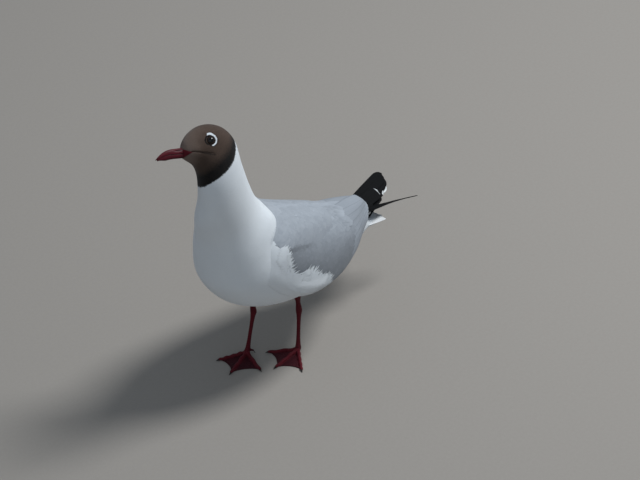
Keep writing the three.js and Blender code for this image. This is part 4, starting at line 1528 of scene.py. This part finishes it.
# ---- large feathers, each with a thickness, a shaft and its own strip of OFBake ----
def large_feathers(name, lines, material, facing, replaces=None):
    """Long feathers. Each line gives at(s, t, height), the place of a point s from root 0 to tip
    1 and t across from -1 to 1, and pale(s, t). A feather is a thin lens: its upper side rises by
    thick (1 - t2) and by its shaft, and both sides are arched by camber (1 - t2). In OFBake its
    two sides lie next to each other on a strip of its own."""
    shells, values, uv = [], {"along": [], "across": [], "tint": [], "pale": []}, []
    s, t = alike(np.linspace(0, 1, 44)[:, None] ** 0.9, np.linspace(-1, 1, 15))
    shaft = 0.22 * np.clip(1 - np.abs(t) * 7, 0, 1) * (1 - 0.7 * s)
    both_sides = np.concatenate([t, 3.02 + t], 1)
    for index, line in enumerate(lines):
        arch = line.get("camber", 0.0) * (1 - t**2)
        top = line["at"](s, t, line["thick"] * (1 - t**2) + shaft + arch)
        low = line["at"](s, t, arch - 0.05)
        shells.append(tube(np.concatenate([top, low[:, ::-1]], 1)))
        pale = line["pale"](s, t) if "pale" in line else 0 * s
        tint = 0 * s + (index * 0.618) % 1
        for key, number in (("along", s), ("across", t), ("tint", tint), ("pale", pale)):
            both = np.concatenate([number, number[:, ::-1]], 1).ravel()
            values[key].append(np.concatenate([both, both[[0, -1]]]))
        strip_u = (index + 0.08 + 0.4 * (both_sides + 1) / 2.05) / len(lines)
        strip_v = BAKE_MARGIN + BAKE_SPAN * s[:, :1] + 0 * strip_u
        strip = np.stack([strip_u, strip_v], -1).reshape(-1, 2)
        uv.append(np.vstack([strip, strip[[0, -1]]]))
    values = {key: np.concatenate(numbers) for key, numbers in values.items()}
    piece = make_piece(name, *gather(shells), values, np.vstack(uv), facing)
    finish_piece(piece, material)
    if replaces:
        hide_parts(replaces)


def vane_outline(s, blunt, base):
    """Half width share: opens from the base, full along the middle, an elliptic tip."""
    tip = np.sqrt(np.clip(1 - np.clip((s - blunt) / (1 - blunt), 0, 1) ** 2, 0.0009, 1))
    return (base + (1 - base) * smooth(s / 0.35)) * tip


# root x, y, z, tip x, y, z, and share of the length that is a white tip, or a white edge of the
# inner vane if negative, the longest feather first
PRIMARIES_RIGHT = (
    (-112, -1, 104.4, -204.3, -23, 101.8, 0),
    (-114, 2, 103, -202.7, -19, 99.8, 0),
    (-118, 5, 101, -198.5, -16, 97.3, -0.2),
    (-122, 7, 99, -187, -12, 99.3, -0.13),
    (-124, 9, 98, -179.1, -8.5, 97.4, 0),
    (-114, 3, 105, -175.9, -6, 102.3, 0.03),
    (-126, 7, 100, -171.4, -6, 97.5, 0),
    (-118, 6, 102, -165.3, -1, 98.4, 0.045),
    (-128, 7, 101, -164.7, -3, 97.5, 0),
)
PRIMARIES_LEFT = (
    (-112, 19, 112, -210.3, 20, 89.3, 0),
    (-112, 15.5, 111, -202.6, 16, 89.1, 0),
    (-112, 12, 109.5, -189.2, 12, 90.5, 0),
    (-112, 8.5, 107.5, -173, 9, 93.4, 0),
    (-112, 7, 106.5, -161, 8, 96.2, 0),
)
PRIMARIES_SHORT = (
    (-112, 12, 108, -151.5, 7.5, 103, 0),
    (-112, 15.5, 108.5, -143, 10, 103.5, 0.3),
)


def primary_lines(rows, across, half, start, arch):
    """Wing-tip feathers between each root and tip, arched up by arch sin(pi s), black with white
    marks. half is a vane's width, the inner one's more and the outer one's less. The feathers
    start at a share of the way out."""
    side = unit(np.array(across, float))
    inner = 1 if rows[0][4] < rows[-1][4] else -1
    lines = []
    for row in rows:
        root, tip = np.array(row[:3], float), np.array(row[3:6], float)
        up = unit(np.cross(side, unit(tip - root)))
        up = up * np.sign(up[2])

        def at(s, t, height, root=root, tip=tip, up=up):
            vane = half * np.where(t * inner > 0, 1.25, 0.95) * smooth(3 * s + 0.3)
            reach = vane * vane_outline(s, 0.86, 0.85) * t
            s = start + (1 - start) * s - 0.02 * smooth((s - 0.55) / 0.45) * (0.5 + 0.5 * t * inner)
            middle = root + (tip - root) * s[..., None] + up * (arch * np.sin(np.pi * s) + height)[..., None]
            return middle + side * reach[..., None]

        def pale(s, t, white=row[6]):
            if white > 0:
                return smooth((s - 1 + white) / 0.012)
            edge = smooth((t * inner - 0.74) / 0.06)
            return edge * smooth((s - 1 - white) / 0.02) * smooth((0.985 - s) / 0.01) * (white < 0)

        lines.append({"at": at, "pale": pale, "thick": 0.4})
    return lines


def wing_tips():
    """The folded wing-tip feathers: the left wing's are narrower and tilted the other way, with
    two short ones over the inner ones."""
    right = primary_lines(PRIMARIES_RIGHT, across=(0, 0.95, -0.31), half=7.4, start=0.0, arch=3.0)
    left = primary_lines(PRIMARIES_LEFT, across=(0, 0.89, 0.46), half=3.9, start=0.14, arch=3.0)
    left += primary_lines(PRIMARIES_SHORT, across=(0.08, 0.78, -0.62), half=3.6, start=0.1, arch=1.0)
    large_feathers("primary_feathers_right", right, black_flight, -1, "primaries_right")
    large_feathers("primary_feathers_left", left, black_flight, -1, "primaries_left")


# wing station and the wing's width there from its lower to its upper edge
WING_CHORD = np.array([[3, 90], [4, 73], [5, 55], [6, 34], [7, 21]])


def tertials(side):
    """Broad feathers that close the folded wing behind, seven laid side by side on the wing's
    surface from under the coverts to its end, each lying over the next one down."""
    surface = WINGS[side]
    lines = []
    for k in np.linspace(0, 1, 7):
        v_root, v_tip = 0.06 + 0.84 * k, 0.10 + 0.86 * k
        a_root, a_tip = 3.2, 6.35 + 0.75 * math.sin(math.pi * (0.15 + 0.6 * k))

        def at(s, t, height, v_root=v_root, v_tip=v_tip, a_root=a_root, a_tip=a_tip, k=k):
            a = a_root + (a_tip - a_root) * s
            half = (9.5 - 1.5 * smooth(s)) * vane_outline(s, 0.72, 0.8)
            v = v_root + (v_tip - v_root) * s + half * t / table_at(WING_CHORD, a)
            emerging = -2.0 + 1.9 * smooth((s - 0.12) / 0.42)
            overlap = 0.35 * k + 0.25 * t * (1 - t) + crest(side, a, np.clip(v, 0, 1))
            return surface.at(a, v, emerging + overlap + height)

        def pale(s, t):
            rim = smooth((np.abs(t) - 0.9) / 0.08) * smooth((s - 0.7) / 0.25) * 0.2
            return np.clip(rim + 0.8 * smooth((s - 0.97) / 0.02), 0, 1)

        lines.append({"at": at, "pale": pale, "thick": 0.22})
    large_feathers("tertials_" + SIDE_NAME[side], lines, grey_flight, facing=-side)


TAIL_ROOT_X, TAIL_ROOT_Z, TAIL_LENGTH, TAIL_HALF_WIDTH = -104, 94.8, 50.4, 26


def tail_fan():
    """Twelve tail feathers in a closed fan, the middle pair on top, square-ended, the outer ones
    turned up a little."""
    lines = []
    for index in range(12):
        pair, side = 5 - index // 2, (LEFT if index % 2 else RIGHT)
        out = side * (1.6 + 3.9 * pair)

        def at(s, t, height, out=out, pair=pair):
            x = TAIL_ROOT_X - (TAIL_LENGTH - 0.5 * pair) * s
            y = out * (0.22 + 0.78 * s**0.9) + (3.4 + 2.4 * s) * vane_outline(s, 0.93, 0.7) * t
            z = TAIL_ROOT_Z - 3.4 * s - 0.2 * pair + 3.6 * (y / TAIL_HALF_WIDTH) ** 2 * s + height
            return np.stack([x, y, z], -1)

        lines.append({"at": at, "thick": 0.2, "camber": 0.1})
    large_feathers("tail_fan", lines, white_flight, facing=-1)


# ---- making everything ----
skin()
for side in (LEFT, RIGHT):
    eyeball(side)
    lids(side)
    eye_ring_coat(side)
    wing_coat(side)
    flank_coat(side)
    shoulder_coat(side)
    tertials(side)
bill()
claws()
hood_coat("face_feathers", (0.02, 3.0), seed=11)
hood_coat("crown_feathers", (3.0, 6.6), seed=12)
body_coat("neck_feathers", (5.3, 9.4), behind_hood, seed=51, along=0.21, across=0.23)
body_coat("breast_feathers", (9.3, 13.0), clear_of_wings, seed=52, along=0.2, across=0.22)
body_coat("belly_feathers", (12.8, 16.4), clear_of_wings, seed=53, along=0.2, across=0.22)
mantle_coat()
wing_tips()
tail_fan()

# ---- floor, light, camera: places in metres ----
FLOOR_SIZE = 12
bpy.ops.mesh.primitive_plane_add(size=FLOOR_SIZE, location=(0, 0, 0))
floor = bpy.context.object
floor.name = "floor"
floor.data.materials.append(floor_finish())


def area_light(name, place, target, size, power, colour):
    """Round lamp at a place in metres, shining at a target."""
    data = bpy.data.lights.new(name, "AREA")
    data.shape, data.size, data.energy, data.color = "DISK", size, power, colour
    light = bpy.data.objects.new(name, data)
    bpy.context.scene.collection.objects.link(light)
    light.matrix_world = facing_matrix(place, np.subtract(place, target))


def facing_matrix(place, back):
    """Object matrix with its -Z along -back and its X level."""
    back = unit(np.array(back, float))
    right = unit(np.cross(UP, back))
    matrix = np.eye(4)
    matrix[:3] = np.stack([right, np.cross(back, right), back, place], -1)
    return Matrix(matrix.tolist())


BIRD_MIDDLE = (0, 0, 0.15)
area_light("key", (-1.3, 0.7, 2.5), BIRD_MIDDLE, size=0.9, power=66, colour=(0.97, 1.0, 1.02))
area_light("fill", (2.4, 1.6, 1.8), BIRD_MIDDLE, size=2.4, power=6, colour=(0.85, 0.94, 1.0))

world = bpy.data.worlds.new("studio")
bpy.context.scene.world = world
world.use_nodes = True
sky = world.node_tree.nodes["Background"]
sky.inputs["Color"].default_value = rgb(0.76, 0.87, 1.0)
sky.inputs["Strength"].default_value = 0.34

CAMERA_PLACE = np.array([1551.0, 1365.0, 1582.8])   # in millimetres, from the toes' middle
CAMERA_BACK = (0.6275, 0.5265, 0.5736)
CAMERA_LENS = 144.06
camera_data = bpy.data.cameras.new("camera")
camera_data.sensor_width = 36
camera_data.lens = CAMERA_LENS
camera = bpy.data.objects.new("camera", camera_data)
bpy.context.scene.collection.objects.link(camera)
camera.matrix_world = facing_matrix(packed(CAMERA_PLACE), CAMERA_BACK)
bpy.context.scene.camera = camera
bpy.context.scene.view_settings.view_transform = "Standard"
